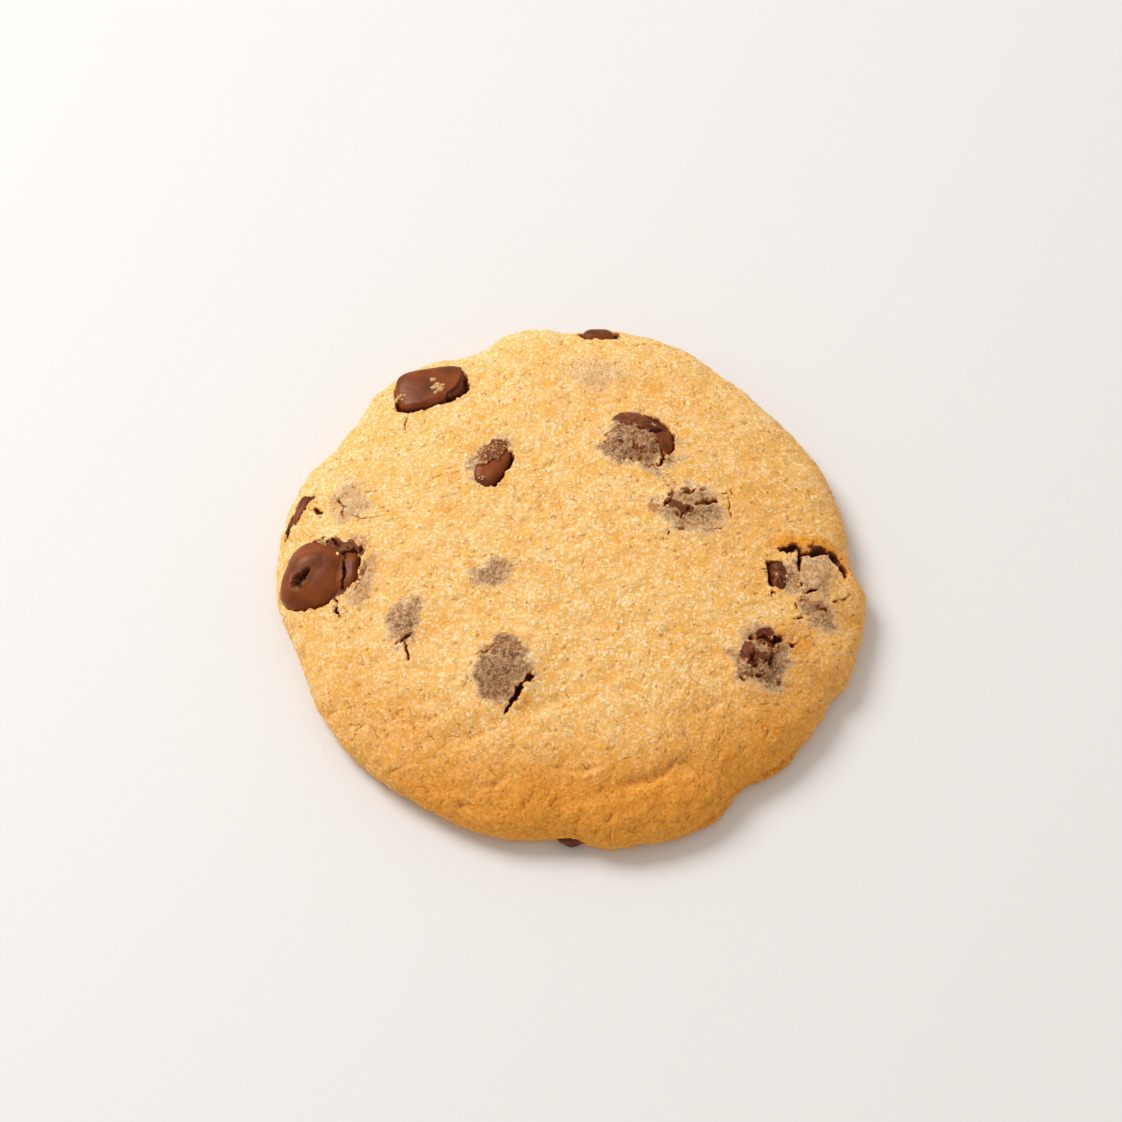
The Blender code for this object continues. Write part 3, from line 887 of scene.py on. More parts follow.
def pocket_and_skin(points, push, lumps, normals):
    """Points with the crust dropped away round each bare chip, and laid as a thin skin on others.

    A pocket's side is a smooth step of the distance outside its chip, lumps stay, and a skin lies
    on its chip's roof. Returns the points, and how deep in a pocket each is, from 0 to 1.
    """
    ragged = 0.00020 * layered_noise(points, 0.0011, 31)
    moved = points + push[:, None] * normals
    depth = np.zeros(len(points))
    for chip in CHIPS:
        outside = chip.depth_of(points)
        near = outside < POCKET_REACH
        cover = np.zeros(len(points))
        cover[near] = covering(chip, points[near])
        drop = min(POCKET_DEPTH, POCKET_SHARE * chip.half[2])
        inside = 1 - smoothstep(-0.00012, 0.00016, outside + ragged - chip.gap_at(points))
        depth = np.maximum(depth, drop * inside * (1 - cover) * (1 - lumps))
        lying = near & (cover > 0)
        roof = chip.roof(moved[lying]) + SKIN_THICKNESS + 0.8 * push[lying]
        lift = np.maximum(roof - moved[lying, 2], 0) * cover[lying]
        moved[lying, 2] += lift
    return moved - depth[:, None] * normals, np.clip(depth / 0.0008, 0, 1)


def crust_relief(points):
    """Fine relief of the crust: soft lumps and knobs by noise, and the crowns of packed granules,
    which fall off with the distance from warped random spots."""
    rougher = 0.55 + 0.8 * rim_share(points)
    lumps = SOFT_LUMP_RISE * rougher * layered_noise(points, SOFT_LUMP_SIZE, 41)
    knobs = KNOB_RISE * layered_noise(points, KNOB_SIZE, 44, layers=2)
    warped = points + 0.0003 * drift(points, 0.0012, 46)
    nearest, tone = grain_cells(warped, GRANULE_SIZE, 45)
    return lumps + knobs + (0.00008 + 0.00005 * tone) * (0.6 - nearest)


def crust_sheet():
    """The crust's points, triangles and attributes: the graded sheet, moved along its normals by
    the relief, and closed by rings under it."""
    middles = (np.arange(CRUST_CELLS) + 0.5) / CRUST_CELLS * 2 - 1
    cell_p, cell_q = (side.ravel() for side in np.meshgrid(middles, middles, indexing="ij"))
    near = feature_distance(smooth_crust(cell_p, cell_q)[0]).reshape(CRUST_CELLS, CRUST_CELLS)
    grade = (near < FINE_REACH).astype(int) + (near < FINEST_REACH)
    grade[(0, -1), :] = 0
    grade[:, (0, -1)] = 0
    sheet, triangles = graded_sheet(CRUST_CELLS, grade)
    p, q = sheet.T
    smooth, level = smooth_crust(p, q)
    normals = crust_normals(p, q)
    # The relief dies out towards the flat underside, which stays level
    lively = smoothstep(-1, -0.7, level)
    lumps, lump_share = lump_rise(smooth)
    cracks, lips = crack_depth(smooth)
    cracks = cracks * (1 - lump_share)
    folds = fold_depth(smooth)
    pores = pore_share(smooth)
    seam, opened = seam_fields(smooth)
    seams = SEAM_DEPTH * opened * np.exp(-((seam / SEAM_HALF_WIDTH) ** 2))
    relief = crust_relief(smooth)
    push = lively * (relief + lips - folds - seams - PORE_DEPTH * pores)
    points, pockets = pocket_and_skin(smooth, push, lump_share, normals)
    points += (lively * (lumps - cracks))[:, None] * normals
    tall = np.maximum(points[:, 2] - TALLEST + PRESSED, 0)
    points[:, 2] = np.maximum(points[:, 2] - tall + PRESSED * np.tanh(tall / PRESSED), 0)
    # How deep in a pocket or crack each point is: it sets the painted glow and painted shade there
    deep = np.maximum(pockets, np.clip(cracks / 0.0007, 0, 1))
    # How hollow the crust is: it sets the painted shade in hollows and folds, and thins the grains
    # there
    hollow = np.clip(0.45 - relief / 0.0004 + folds / 0.0005, 0, 1)

    # The underside: the sheet's edge, ring by ring in to the middle, with shallow dimples
    edge = np.nonzero(np.maximum(np.abs(p), np.abs(q)) > 1 - 1e-9)[0]
    edge = edge[np.argsort(np.arctan2(smooth[edge, 1], smooth[edge, 0]))]
    shares = np.linspace(1, 0, UNDERSIDE_RINGS + 1)[1:-1, None, None]
    rings = (smooth[edge][None] * shares).reshape(-1, 3)
    rings[:, 2] = DIMPLE_DEPTH * np.abs(smooth_noise(rings, DIMPLE_SIZE, 51))
    around = len(edge)
    index = np.vstack((edge, len(points) + np.arange(len(rings)).reshape(-1, around)))
    outer, inner = index[:-1], index[1:]
    next_outer, next_inner = np.roll(outer, -1, 1), np.roll(inner, -1, 1)
    strips = ((outer, inner, next_inner), (outer, next_inner, next_outer))
    triangles = [triangles, *(np.stack(strip, -1).reshape(-1, 3) for strip in strips)]
    last = index[-1]
    centre = len(points) + len(rings)
    triangles.append(np.stack((last, np.full(around, centre), np.roll(last, -1)), -1))
    points = np.vstack((points, rings, ((0, 0, 0),)))
    # Each attribute on the sheet, and its value on the underside
    fields = {
        "deep": (deep, 0),
        "hollow": (hollow, 0.5),
        "seam": (seam, 1),
        "opened": (opened * lively, 0),
        "pore": (pores, 0),
        "level": (level, -1),
    }
    below = len(rings) + 1
    fields = {
        name: np.append(above, np.full(below, under)) for name, (above, under) in fields.items()
    }
    return points, np.concatenate(triangles), fields


def piece_from(name, points, triangles, attributes, finish):
    """A mesh object at the origin from arrays, shaded smooth, with attributes on its points."""
    mesh = bpy.data.meshes.new(name)
    mesh.from_pydata(points, [], triangles.tolist())
    for label, values in attributes.items():
        field = mesh.attributes.new(label, "FLOAT", "POINT")
        field.data.foreach_set("value", values.astype(np.float32))
    mesh.shade_smooth()
    mesh.materials.append(finish)
    piece = bpy.data.objects.new(name, mesh)
    bpy.context.scene.collection.objects.link(piece)
    return piece


# Patches of the top that are a little browner, some of them as painted shade: place, half length,
# half width, turn, how much
TOASTED_AND_SHADED_PATCHES = (
    # Painted shade that darkens the right third and the back
    ((0.0250, 0.0060), 0.0170, 0.0120, 90, 0.36),
    ((0.0050, 0.0270), 0.0180, 0.0100, 0, 0.22),
    # Painted shade on the upper walls of the crevice at the right edge
    ((0.0290, 0.0016), 0.0022, 0.0010, 0, 0.70),
    ((0.0330, 0.0019), 0.0030, 0.0011, -8, 0.80),
    ((0.0358, 0.0010), 0.0024, 0.0009, -50, 0.80),
    # Toasted: below the broken chip at the lower right
    ((0.0298, -0.0130), 0.0036, 0.0024, 0, 0.75),
)

# Places that the chips have coloured: place, half length, half width, turn, strength
FILMS = (
    ((-0.0089, -0.0180), 0.0056, 0.0044, 75, 1.0),
    ((-0.0216, -0.0106), 0.0046, 0.0028, 70, 0.80),
    ((-0.0104, -0.0042), 0.0038, 0.0022, 25, 0.75),
    ((0.0035, 0.0290), 0.0060, 0.0042, 0, 0.38),
    ((-0.0296, 0.0084), 0.0048, 0.0036, 100, 0.50),
    ((0.0090, 0.0164), 0.0066, 0.0052, -28, 0.95),
    ((0.0164, 0.0061), 0.0058, 0.0046, -12, 0.70),
    ((0.0328, -0.0088), 0.0036, 0.0022, -30, 0.70),
    ((0.0318, -0.0035), 0.0046, 0.0040, 100, 0.56),
    ((0.0345, -0.0010), 0.0026, 0.0014, -60, 0.50),
    ((0.0290, -0.0040), 0.0030, 0.0014, 110, 0.75),
    ((0.0290, -0.0128), 0.0022, 0.0014, 0, 0.30),
    ((0.0246, -0.0160), 0.0052, 0.0046, 70, 0.85),
    ((-0.0112, 0.0136), 0.0048, 0.0034, 65, 0.70),
    ((-0.0290, -0.0066), 0.0022, 0.0014, 40, 0.40),
    ((-0.0268, -0.0042), 0.0044, 0.0016, 80, 0.34),
)
STAINS = (
    ((-0.0281, 0.0014), 0.0026, 0.0014, -35, 0.8),
    ((-0.0269, -0.0034), 0.0036, 0.0013, 80, 0.8),
    ((-0.0278, -0.0066), 0.0028, 0.0011, 60, 0.8),
    ((0.0108, 0.0203), 0.0030, 0.0012, -35, 0.4),
    ((0.0314, -0.0074), 0.0028, 0.0014, -25, 0.9),
    ((0.0255, -0.0121), 0.0022, 0.0012, 0, 0.9),
)
SMEARS = (
    # By the large chip on the left
    ((-0.0306, 0.0010), 0.0029, 0.0011, -30, 1.0),
    ((-0.0283, -0.0001), 0.0010, 0.0007, -20, 0.9),
    ((-0.0303, -0.0030), 0.0050, 0.0014, 82, 1.0),
    ((-0.0278, -0.0040), 0.0026, 0.0005, 75, 0.45),
    ((-0.0345, 0.0025), 0.0020, 0.0003, 18, 0.6),
    # Round the sliver on the left rim
    ((-0.0358, 0.0096), 0.0014, 0.0005, 25, 0.9),
    ((-0.0381, 0.0062), 0.0018, 0.0005, 75, 0.8),
    # On the walls of the crevice at the right edge, and below the lump
    ((0.0295, 0.0008), 0.0014, 0.0007, 22, 0.9),
    ((0.0331, 0.0013), 0.0012, 0.0006, 10, 0.8),
    ((0.0356, 0.0004), 0.0014, 0.0007, -60, 0.9),
    ((0.0309, -0.0070), 0.0010, 0.0006, -20, 0.45),
    ((0.0328, -0.0079), 0.0008, 0.0004, -30, 0.50),
    # On the broken chip at the lower right
    ((0.0255, -0.0124), 0.0014, 0.0007, 0, 0.8),
    ((0.0230, -0.0151), 0.0015, 0.0011, 80, 0.85),
    ((0.0250, -0.0162), 0.0008, 0.0006, 0, 0.60),
    ((0.0267, -0.0150), 0.0010, 0.0006, 80, 0.50),
    ((0.0240, -0.0166), 0.0016, 0.0005, 80, 0.8),
    ((0.0260, -0.0166), 0.0012, 0.0004, 80, 0.7),
    ((0.0245, -0.0183), 0.0008, 0.0004, 0, 0.55),
    # On the crusted chip right of the middle
    ((0.0154, 0.0085), 0.0009, 0.0005, -5, 0.7),
    ((0.0140, 0.0061), 0.0013, 0.0007, -10, 0.70),
    ((0.0155, 0.0055), 0.0012, 0.0007, 0, 0.75),
    ((0.0130, 0.0066), 0.0008, 0.0004, 30, 0.80),
    ((0.0181, 0.0065), 0.0006, 0.0003, 0, 0.7),
    ((0.0143, 0.0048), 0.0004, 0.0004, 0, 0.6),
    # On the large chip over it
    ((0.0049, 0.0175), 0.0007, 0.0005, 40, 0.60),
    ((0.0061, 0.0163), 0.0008, 0.0004, -20, 0.55),
    ((0.0070, 0.0160), 0.0005, 0.0003, -40, 0.8),
    ((0.0088, 0.0150), 0.0007, 0.0006, -60, 0.7),
    ((0.0098, 0.0150), 0.0006, 0.0003, 20, 0.8),
    ((0.0096, 0.0144), 0.0010, 0.0003, 0, 0.60),
    ((0.0112, 0.0144), 0.0007, 0.0003, 10, 0.7),
    ((0.0095, 0.0136), 0.0007, 0.0003, 10, 0.6),
    # On the almond-shaped chip
    ((-0.0107, 0.0146), 0.0030, 0.0022, 60, 0.60),
)


def spread(points, spots, core):
    """The strongest of several oval spots at each point of the top: each is even out to the core's
    share of its size, and then fades by a smooth step."""
    x, y = points[:, 0], points[:, 1]
    ragged = 0.35 * layered_noise(points, 0.0022, 61)
    strongest = np.zeros(len(points))
    for place, half_length, half_width, turn, strength in spots:
        measure = np.sqrt(oval_measure(x, y, place, half_length, half_width, turn)) + ragged
        strongest = np.maximum(strongest, strength * (1 - smoothstep(core, 1.15, measure)))
    return np.where(points[:, 2] > RIM_HEIGHT, strongest, 0)


def browning_and_shade(points, level):
    """How far the crust is baked darker, from 0 to 1, with painted shade in some patches: the most
    of three fields, uneven by noise, plus the underside's even baked colour.

    They are a step out towards the rim, most at the front by a cubed cosine, a narrower one on the
    right, and the bells of the patches, of which some are toasted and some are painted shade.
    """
    x, y = points[:, 0], points[:, 1]
    out = way_out(x, y)
    rim = smoothstep(0.50, 1.02, out) * (0.08 + 0.92 * facing(x, y, -80) ** 3)
    patches = 1 + 0.12 * layered_noise(points, 0.008, 71)
    rim = np.maximum(rim, 0.55 * smoothstep(0.86, 1.0, out) * facing(x, y, -15) ** 2)
    # The patches' bells: toasting, and painted shade
    toasted_and_shaded = sum(share * np.exp(-oval_measure(x, y, *oval)) for *oval, share in TOASTED_AND_SHADED_PATCHES)
    return np.clip(np.maximum(rim, toasted_and_shaded) * patches + 0.9 * smoothstep(-0.2, -0.9, level), 0, 1)


def stained(points, level):
    """The crust's colour fields at points of it: baked colour with painted shade in some patches,
    and chocolate's film, stain and smear.
    """
    return {
        "brown": browning_and_shade(points, level),
        "film": spread(points, FILMS, 0.45),
        "stain": spread(points, STAINS, 0.25),
        "smear": spread(points, SMEARS, 0.7),
    }


def even_solid(corners):
    """A solid with even faces: every three corners that are one edge apart, turned outwards."""
    corners = unit(np.array(corners, dtype=float))
    gaps = np.linalg.norm(corners[:, None] - corners[None], axis=-1)
    edge = 1.01 * gaps[gaps > 0].min()
    triples = np.array(list(itertools.combinations(range(len(corners)), 3)))
    a, b, c = triples.T
    triples = triples[(gaps[a, b] < edge) & (gaps[b, c] < edge) & (gaps[a, c] < edge)]
    inward = np.linalg.det(corners[triples]) < 0
    triples[inward] = triples[inward][:, ::-1]
    return corners, triples


GOLDEN_RATIO = (1 + math.sqrt(5)) / 2
TWENTY_FACES = even_solid(
    [np.roll((0, a, b * GOLDEN_RATIO), turn) for a in (1, -1) for b in (1, -1) for turn in range(3)]
)


def scatter(points, triangles, wanted, spacing, most, seed):
    """Random places on a mesh, evenly by area times how much they are wanted, one at most in each
    cube of a lattice.

    Returns the places, the faces' normals there, and for each place its triangle's first point.
    """
    draw = np.random.default_rng(seed)
    a, b, c = (points[triangles[:, n]] for n in range(3))
    normal = np.cross(b - a, c - a)
    weight = np.linalg.norm(normal, axis=-1) * wanted[triangles].min(1)
    chosen = np.searchsorted(np.cumsum(weight) / weight.sum(), draw.random(6 * most))
    u, v = np.sort(draw.random((2, len(chosen))), axis=0)[..., None]
    places = a[chosen] * u + b[chosen] * (v - u) + c[chosen] * (1 - v)
    cubes = np.floor(places / spacing).astype(int)
    _, first = np.unique(cubes, axis=0, return_index=True)
    first = draw.permutation(first)[:most]
    return places[first], unit(normal[chosen[first]]), triangles[chosen[first], 0]


def grains(places, normals, sizes, sunk, seed):
    """Points and triangles of a grain at each place: an uneven solid of twenty faces, drawn out and
    turned by chance, and sunk by a share of its size.

    Also returns how near its foot each point is, which sets the painted contact shade there: 1 at
    the crust or below it, and 0 from a quarter of the grain's size up.
    """
    draw = np.random.default_rng(seed)
    corners, faces = TWENTY_FACES
    count = len(places)
    forward = unit(draw.normal(size=(count, 3)))
    side = unit(np.cross(forward, draw.normal(size=(count, 3))))
    turned = np.stack((forward, side, np.cross(forward, side)), axis=-1)
    stretch = draw.uniform(0.8, 1.25, (count, 1, 3))
    stretch = stretch * (1 + 0.08 * draw.normal(size=(count, len(corners), 1)))
    local = corners * stretch * sizes[:, None, None] / 2
    middle = places - normals * (sunk * sizes)[:, None]
    points = local @ np.swapaxes(turned, 1, 2) + middle[:, None]
    up = ((points - places[:, None]) * normals[:, None]).sum(-1) / sizes[:, None]
    triangles = (faces[None] + len(corners) * np.arange(count)[:, None, None]).reshape(-1, 3)
    return points.reshape(-1, 3), triangles, 1 - smoothstep(0.0, 0.25, up).ravel()


def ball_sheet(cells):
    """Directions from a ball's middle: a square sheet wrapped down from its top to its bottom.

    The distance from the sheet's middle is the angle down from the top, by straight pieces.
    """
    side = np.linspace(-1, 1, cells + 1)
    p, q = (half.ravel() for half in np.meshgrid(side, side, indexing="ij"))
    out, turn = square_to_disc(p, q)
    fall = np.radians(np.interp(out, (0, 0.9, 1), (0, 125, 180)))
    ring = np.sin(fall)
    directions = np.stack((ring * np.cos(turn), ring * np.sin(turn), np.cos(fall)), -1)
    index = np.arange((cells + 1) ** 2).reshape(cells + 1, cells + 1)
    a, b, c, d = index[:-1, :-1], index[1:, :-1], index[1:, 1:], index[:-1, 1:]
    triangles = np.concatenate([np.stack(t, -1).reshape(-1, 3) for t in ((a, b, c), (a, c, d))])
    # Every point of the sheet's edge is the one point at the bottom
    bottom = np.nonzero(out > 1 - 1e-9)[0]
    merged = np.where(out > 1 - 1e-9, bottom[0], np.arange(len(out)))
    triangles = merged[triangles]
    a, b, c = triangles.T
    triangles = triangles[(a != b) & (b != c) & (c != a)]
    used, triangles = np.unique(triangles, return_inverse=True)
    return directions[used], triangles.reshape(-1, 3)


class Finish:
    """A material under construction: adds nodes, and links any input that is given as a socket."""

    def __init__(self, name):
        self.material = bpy.data.materials.new(name)
        self.material.use_nodes = True
        self.tree = self.material.node_tree
        self.shader = self.tree.nodes["Principled BSDF"]
        self.place = self.add("ShaderNodeTexCoord").outputs["Object"]

    def put(self, socket, value):
        """Links a socket as the input's value, or else sets it."""
        if isinstance(value, bpy.types.NodeSocket):
            self.tree.links.new(value, socket)
        else:
            socket.default_value = value

    def add(self, kind, inputs=(), **settings):
        """A new node with its inputs put in and its settings made."""
        node = self.tree.nodes.new(kind)
        for key, value in settings.items():
            setattr(node, key, value)
        for key, value in dict(inputs).items():
            self.put(node.inputs[key], value)
        return node

    def attribute(self, name):
        """An attribute that the piece's points carry, as a number."""
        return self.add("ShaderNodeAttribute", attribute_name=name).outputs["Fac"]

    def noise(self, size, detail=2.0, roughness=0.5, distortion=0.0):
        """Noise whose features measure about this size, from 0 to 1."""
        inputs = {
            "Vector": self.place,
            "Scale": 1 / size,
            "Detail": detail,
            "Roughness": roughness,
            "Distortion": distortion,
        }
        return self.add("ShaderNodeTexNoise", inputs).outputs["Fac"]

    def cells(self, size, place=None):
        """Cellular noise: how far the nearest random spot is, in sizes, and a colour of its own."""
        inputs = {"Vector": place or self.place, "Scale": 1 / size}
        return self.add("ShaderNodeTexVoronoi", inputs)

    def warped(self, size, reach):
        """The object's coordinates, shifted by noise of this size up to about half this reach."""
        inputs = {"Vector": self.place, "Scale": 1 / size, "Detail": 1.0}
        inputs = {0: self.add("ShaderNodeTexNoise", inputs).outputs["Color"], "Scale": reach}
        shift = self.add("ShaderNodeVectorMath", inputs, operation="SCALE").outputs[0]
        inputs = {0: self.place, 1: shift}
        return self.add("ShaderNodeVectorMath", inputs, operation="ADD").outputs[0]

    def granules(self, size):
        """Irregular granules of this size: 0 between them, up to 1 on the palest ones' crowns."""
        cells = self.cells(size, place=self.warped(0.8 * size, 1.2 * size))
        tone = self.add("ShaderNodeSeparateColor", {0: cells.outputs["Color"]}).outputs[0]
        crown = self.remap(cells.outputs["Distance"], 0.60, 0.08)
        return self.maths("MULTIPLY", crown, self.remap(tone, 0.0, 1.0, 0.25, 1.0))

    def remap(self, value, low, high, to_low=0.0, to_high=1.0):
        """Value carried by a smooth step from low..high to to_low..to_high, held at the ends."""
        inputs = {
            "Value": value,
            "From Min": low,
            "From Max": high,
            "To Min": to_low,
            "To Max": to_high,
        }
        node = self.add("ShaderNodeMapRange", inputs, interpolation_type="SMOOTHSTEP")
        return node.outputs["Result"]

    def maths(self, operation, a, b=0):
        """Two values put through an operation of the maths node."""
        return self.add("ShaderNodeMath", {0: a, 1: b}, operation=operation).outputs[0]

    def mix(self, share, a, b, blend="MIX"):
        """Colour a, with this share of colour b mixed or blended in."""
        node = self.add("ShaderNodeMix", data_type="RGBA", blend_type=blend)
        self.put(node.inputs[0], share)
        self.put(node.inputs[6], a)
        self.put(node.inputs[7], b)
        return node.outputs[2]

    def bump(self, height, distance):
        """The normal of a surface raised by height, which is 1 where it rises by this distance."""
        inputs = {"Height": height, "Distance": distance, "Strength": 1.0}
        return self.add("ShaderNodeBump", inputs).outputs["Normal"]


def rgb(red, green, blue):
    """A colour that covers fully."""
    return (red, green, blue, 1.0)


# Colours of the crust and the chocolate, in linear light. GLOW is the warm light in a shallow gap,
# painted. The tints of hollows and of grains' feet, and the crevice and hole colours, are painted
# shade
GOLDEN = rgb(0.815, 0.458, 0.108)
PALE = rgb(0.870, 0.598, 0.262)
CREAM = rgb(0.985, 0.775, 0.505)
BROWNED = rgb(0.710, 0.275, 0.025)
TOASTED = rgb(0.800, 0.385, 0.058)
PORE = rgb(0.450, 0.160, 0.020)
HOLLOW_SHADE_TINT = rgb(0.95, 0.80, 0.55)
FOOT_SHADE_TINT = rgb(0.95, 0.77, 0.50)
VEIL_PALE = rgb(0.800, 0.610, 0.400)
VEIL = rgb(0.490, 0.305, 0.165)
FILM_PALE = rgb(0.605, 0.390, 0.225)
FILM = rgb(0.335, 0.166, 0.075)
FILM_DARK = rgb(0.130, 0.048, 0.019)
STAIN = rgb(0.440, 0.190, 0.110)
CREVICE_SHADE = rgb(0.095, 0.026, 0.007)
HOLE_SHADE = rgb(0.045, 0.012, 0.004)
GLOW = rgb(0.520, 0.150, 0.020)
MILK_CHOCOLATE = rgb(0.235, 0.055, 0.011)
DARK_CHOCOLATE = rgb(0.105, 0.024, 0.006)


def crust_colour(f, paleness):
    """The crust's colour: golden crumb, cream granules, baked darker colour with painted shade in
    some patches, film, stains and smears.

    Returns it with how far a pore or hair crack opens, the granules, and the smears' share.
    """
    colour = f.mix(f.remap(f.noise(0.0034, detail=3), 0.36, 0.64), GOLDEN, PALE)
    granules = f.granules(0.00060)
    flecks = f.noise(0.00046, detail=3, roughness=0.55, distortion=0.6)
    colour = f.mix(f.remap(granules, 0.20, 0.65, 0, 0.85), colour, CREAM)
    colour = f.mix(f.remap(granules, 0.20, 0.02, 0, 0.55), colour, GOLDEN)
    colour = f.mix(f.remap(flecks, 0.52, 0.64, 0, 0.8), colour, CREAM)
    colour = f.mix(f.remap(flecks, 0.46, 0.36, 0, 0.6), colour, GOLDEN)
    colour = f.mix(paleness, colour, CREAM)
    # The brown colours, for baking and for the painted shade of some patches
    brown_and_shade_colour = f.mix(f.remap(flecks, 0.35, 0.68), BROWNED, TOASTED)
    colour = f.mix(f.remap(f.attribute("brown"), 0.0, 0.9, 0.0, 0.97), colour, brown_and_shade_colour)

    # Pores: a dot in some cells. Hair cracks: the middle line of a noise, where another lets it show
    holes = f.cells(0.0012)
    tone = f.add("ShaderNodeSeparateColor", {0: holes.outputs["Color"]}).outputs[1]
    radius = f.remap(tone, 0.25, 1.0, 0.0, 0.140)
    pore = f.remap(f.maths("SUBTRACT", holes.outputs["Distance"], radius), 0.0, 0.040, 1.0, 0.0)
    line = f.maths("ABSOLUTE", f.maths("SUBTRACT", f.noise(0.0024, detail=2), 0.5))
    shown = f.remap(f.noise(0.0010, detail=1), 0.65, 0.71)
    hair = f.maths("MULTIPLY", f.remap(line, 0.002, 0.010, 1.0, 0.0), shown)
    opening = f.maths("MAXIMUM", pore, hair)

    grit = f.remap(f.noise(0.00045, detail=3, roughness=0.65), 0.36, 0.64)
    clouded = f.remap(f.noise(0.0010, detail=4, roughness=0.6), 0.36, 0.54)
    curls = f.noise(0.00040, detail=3, roughness=0.6, distortion=1.0)
    covered = f.mix(clouded, FILM_DARK, FILM)
    covered = f.mix(f.remap(curls, 0.50, 0.62, 0.0, 0.75), covered, FILM_PALE)
    covered = f.mix(f.remap(curls, 0.47, 0.38, 0.0, 0.75), covered, FILM_DARK)
    uneven = f.maths("MULTIPLY", f.maths("SUBTRACT", grit, 0.5), 0.16)
    film = f.maths("ADD", f.attribute("film"), uneven)
    veil = f.mix(f.remap(curls, 0.42, 0.58), VEIL, VEIL_PALE)
    colour = f.mix(f.remap(film, 0.10, 0.50, 0.0, 0.70), colour, veil)
    colour = f.mix(f.remap(film, 0.30, 0.95, 0.0, 0.92), colour, covered)
    spots = f.maths("MULTIPLY", f.attribute("stain"), f.remap(grit, 0.0, 0.8, 1.0, 0.25))
    colour = f.mix(spots, colour, STAIN)
    smear = f.remap(f.maths("ADD", f.attribute("smear"), f.maths("MULTIPLY", grit, 0.4)), 0.55, 0.80)
    colour = f.mix(smear, colour, f.mix(grit, DARK_CHOCOLATE, MILK_CHOCOLATE))
    return colour, opening, granules, smear


def crust_finish():
    """Baked dough: the crust's colour, with painted shade in its hollows and deep crevices, a
    painted warm glow in shallow gaps, and darker pores and seams.
    """
    f = Finish("baked_crust")
    colour, opening, granules, smear = crust_colour(f, 0.0)
    # Painted shade in the hollows and folds: a warm darker tint
    hollow = f.remap(f.attribute("hollow"), 0.35, 1.0, 0.0, 0.8)
    colour = f.mix(hollow, colour, HOLLOW_SHADE_TINT, "MULTIPLY")
    seam = f.remap(f.maths("ABSOLUTE", f.attribute("seam")), 0.008, 0.035, 1.0, 0.0)
    opening = f.maths("MAXIMUM", opening, f.maths("MULTIPLY", seam, f.attribute("opened")))
    opening = f.maths("MAXIMUM", opening, f.attribute("pore"))
    colour = f.mix(f.maths("MULTIPLY", opening, 0.75), colour, PORE)
    # Painted light and shade in pockets and cracks: a warm glow where shallow, dark chocolate
    # instead where smeared, and dark crevice shade where deep
    deep = f.attribute("deep")
    colour = f.mix(f.remap(deep, 0.02, 0.30), colour, f.mix(smear, GLOW, DARK_CHOCOLATE))
    colour = f.mix(f.remap(deep, 0.30, 0.90), colour, CREVICE_SHADE)
    f.put(f.shader.inputs["Base Color"], colour)
    f.put(f.shader.inputs["Roughness"], f.remap(smear, 0.0, 1.0, 0.60, 0.45))
    f.shader.inputs["Specular IOR Level"].default_value = 0.18
    f.shader.inputs["Subsurface Weight"].default_value = 0.8
    f.shader.inputs["Subsurface Radius"].default_value = (1.0, 0.8, 0.6)
    f.shader.inputs["Subsurface Scale"].default_value = 0.0003
    height = f.maths("SUBTRACT", granules, f.maths("MULTIPLY", opening, 0.8))
    f.put(f.shader.inputs["Normal"], f.bump(height, 0.00010))
    return f.material


def grain_finish(name, paleness, roughness):
    """Loose grains: the crust's own colour, paler by chance from grain to grain, with painted
    contact shade at their feet.
    """
    f = Finish(name)
    colour, _, granules, _ = crust_colour(f, f.maths("MULTIPLY", f.attribute("tone"), paleness))
    # Painted contact shade: a warm darker tint towards each grain's foot
    colour = f.mix(f.maths("MULTIPLY", f.attribute("foot"), 0.8), colour, FOOT_SHADE_TINT, "MULTIPLY")
    f.put(f.shader.inputs["Base Color"], colour)
    f.shader.inputs["Roughness"].default_value = roughness
    f.shader.inputs["Specular IOR Level"].default_value = 0.2
    f.shader.inputs["Subsurface Weight"].default_value = 0.3
    f.shader.inputs["Subsurface Radius"].default_value = (1.0, 0.9, 0.8)
    f.shader.inputs["Subsurface Scale"].default_value = 0.00008
    f.put(f.shader.inputs["Normal"], f.bump(granules, 0.00005))
    return f.material


def chocolate_finish():
    """Milk chocolate that has melted and set: satin and clouded, with painted shade and painted
    glints in its tears, past its ledges and where it is broken.
    """
    f = Finish("melted_chocolate")
    cloud = f.noise(0.0030, detail=4)
    colour = f.mix(f.remap(cloud, 0.35, 0.75), MILK_CHOCOLATE, DARK_CHOCOLATE)
    grit = f.noise(0.0006, detail=3)
    # Painted shade: near-black in tears, past ledges and in broken patches, with orange specks as
    # painted glints
    floor = f.mix(f.remap(grit, 0.57, 0.68), HOLE_SHADE, PORE)
    colour = f.mix(f.attribute("deep"), colour, floor)
    f.put(f.shader.inputs["Base Color"], colour)
    f.put(f.shader.inputs["Roughness"], f.remap(cloud, 0.3, 0.7, 0.32, 0.44))
    f.shader.inputs["Specular IOR Level"].default_value = 0.17
    f.put(f.shader.inputs["Normal"], f.bump(grit, 0.00003))
    return f.material


def show(piece, slot, *nodes):
    """Makes a piece ride on the one body, and stand for its nodes, whose parts are hidden. The slot
    is not used.
    """
    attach(piece, "root")
    if nodes:
        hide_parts(*nodes)


# Kinds of loose grain: name, spacing, most, size from and to, how far sunk, paleness, roughness
GRAIN_KINDS = (
    ("crumb_lumps", 0.00070, 9600, 0.00060, 0.00105, 0.44, 0.35, 0.60),
    ("crumb_grains", 0.00052, 9600, 0.00036, 0.00058, 0.38, 0.60, 0.55),
    ("sugar_grains", 0.00060, 8000, 0.00022, 0.00036, 0.34, 0.75, 0.45),
)


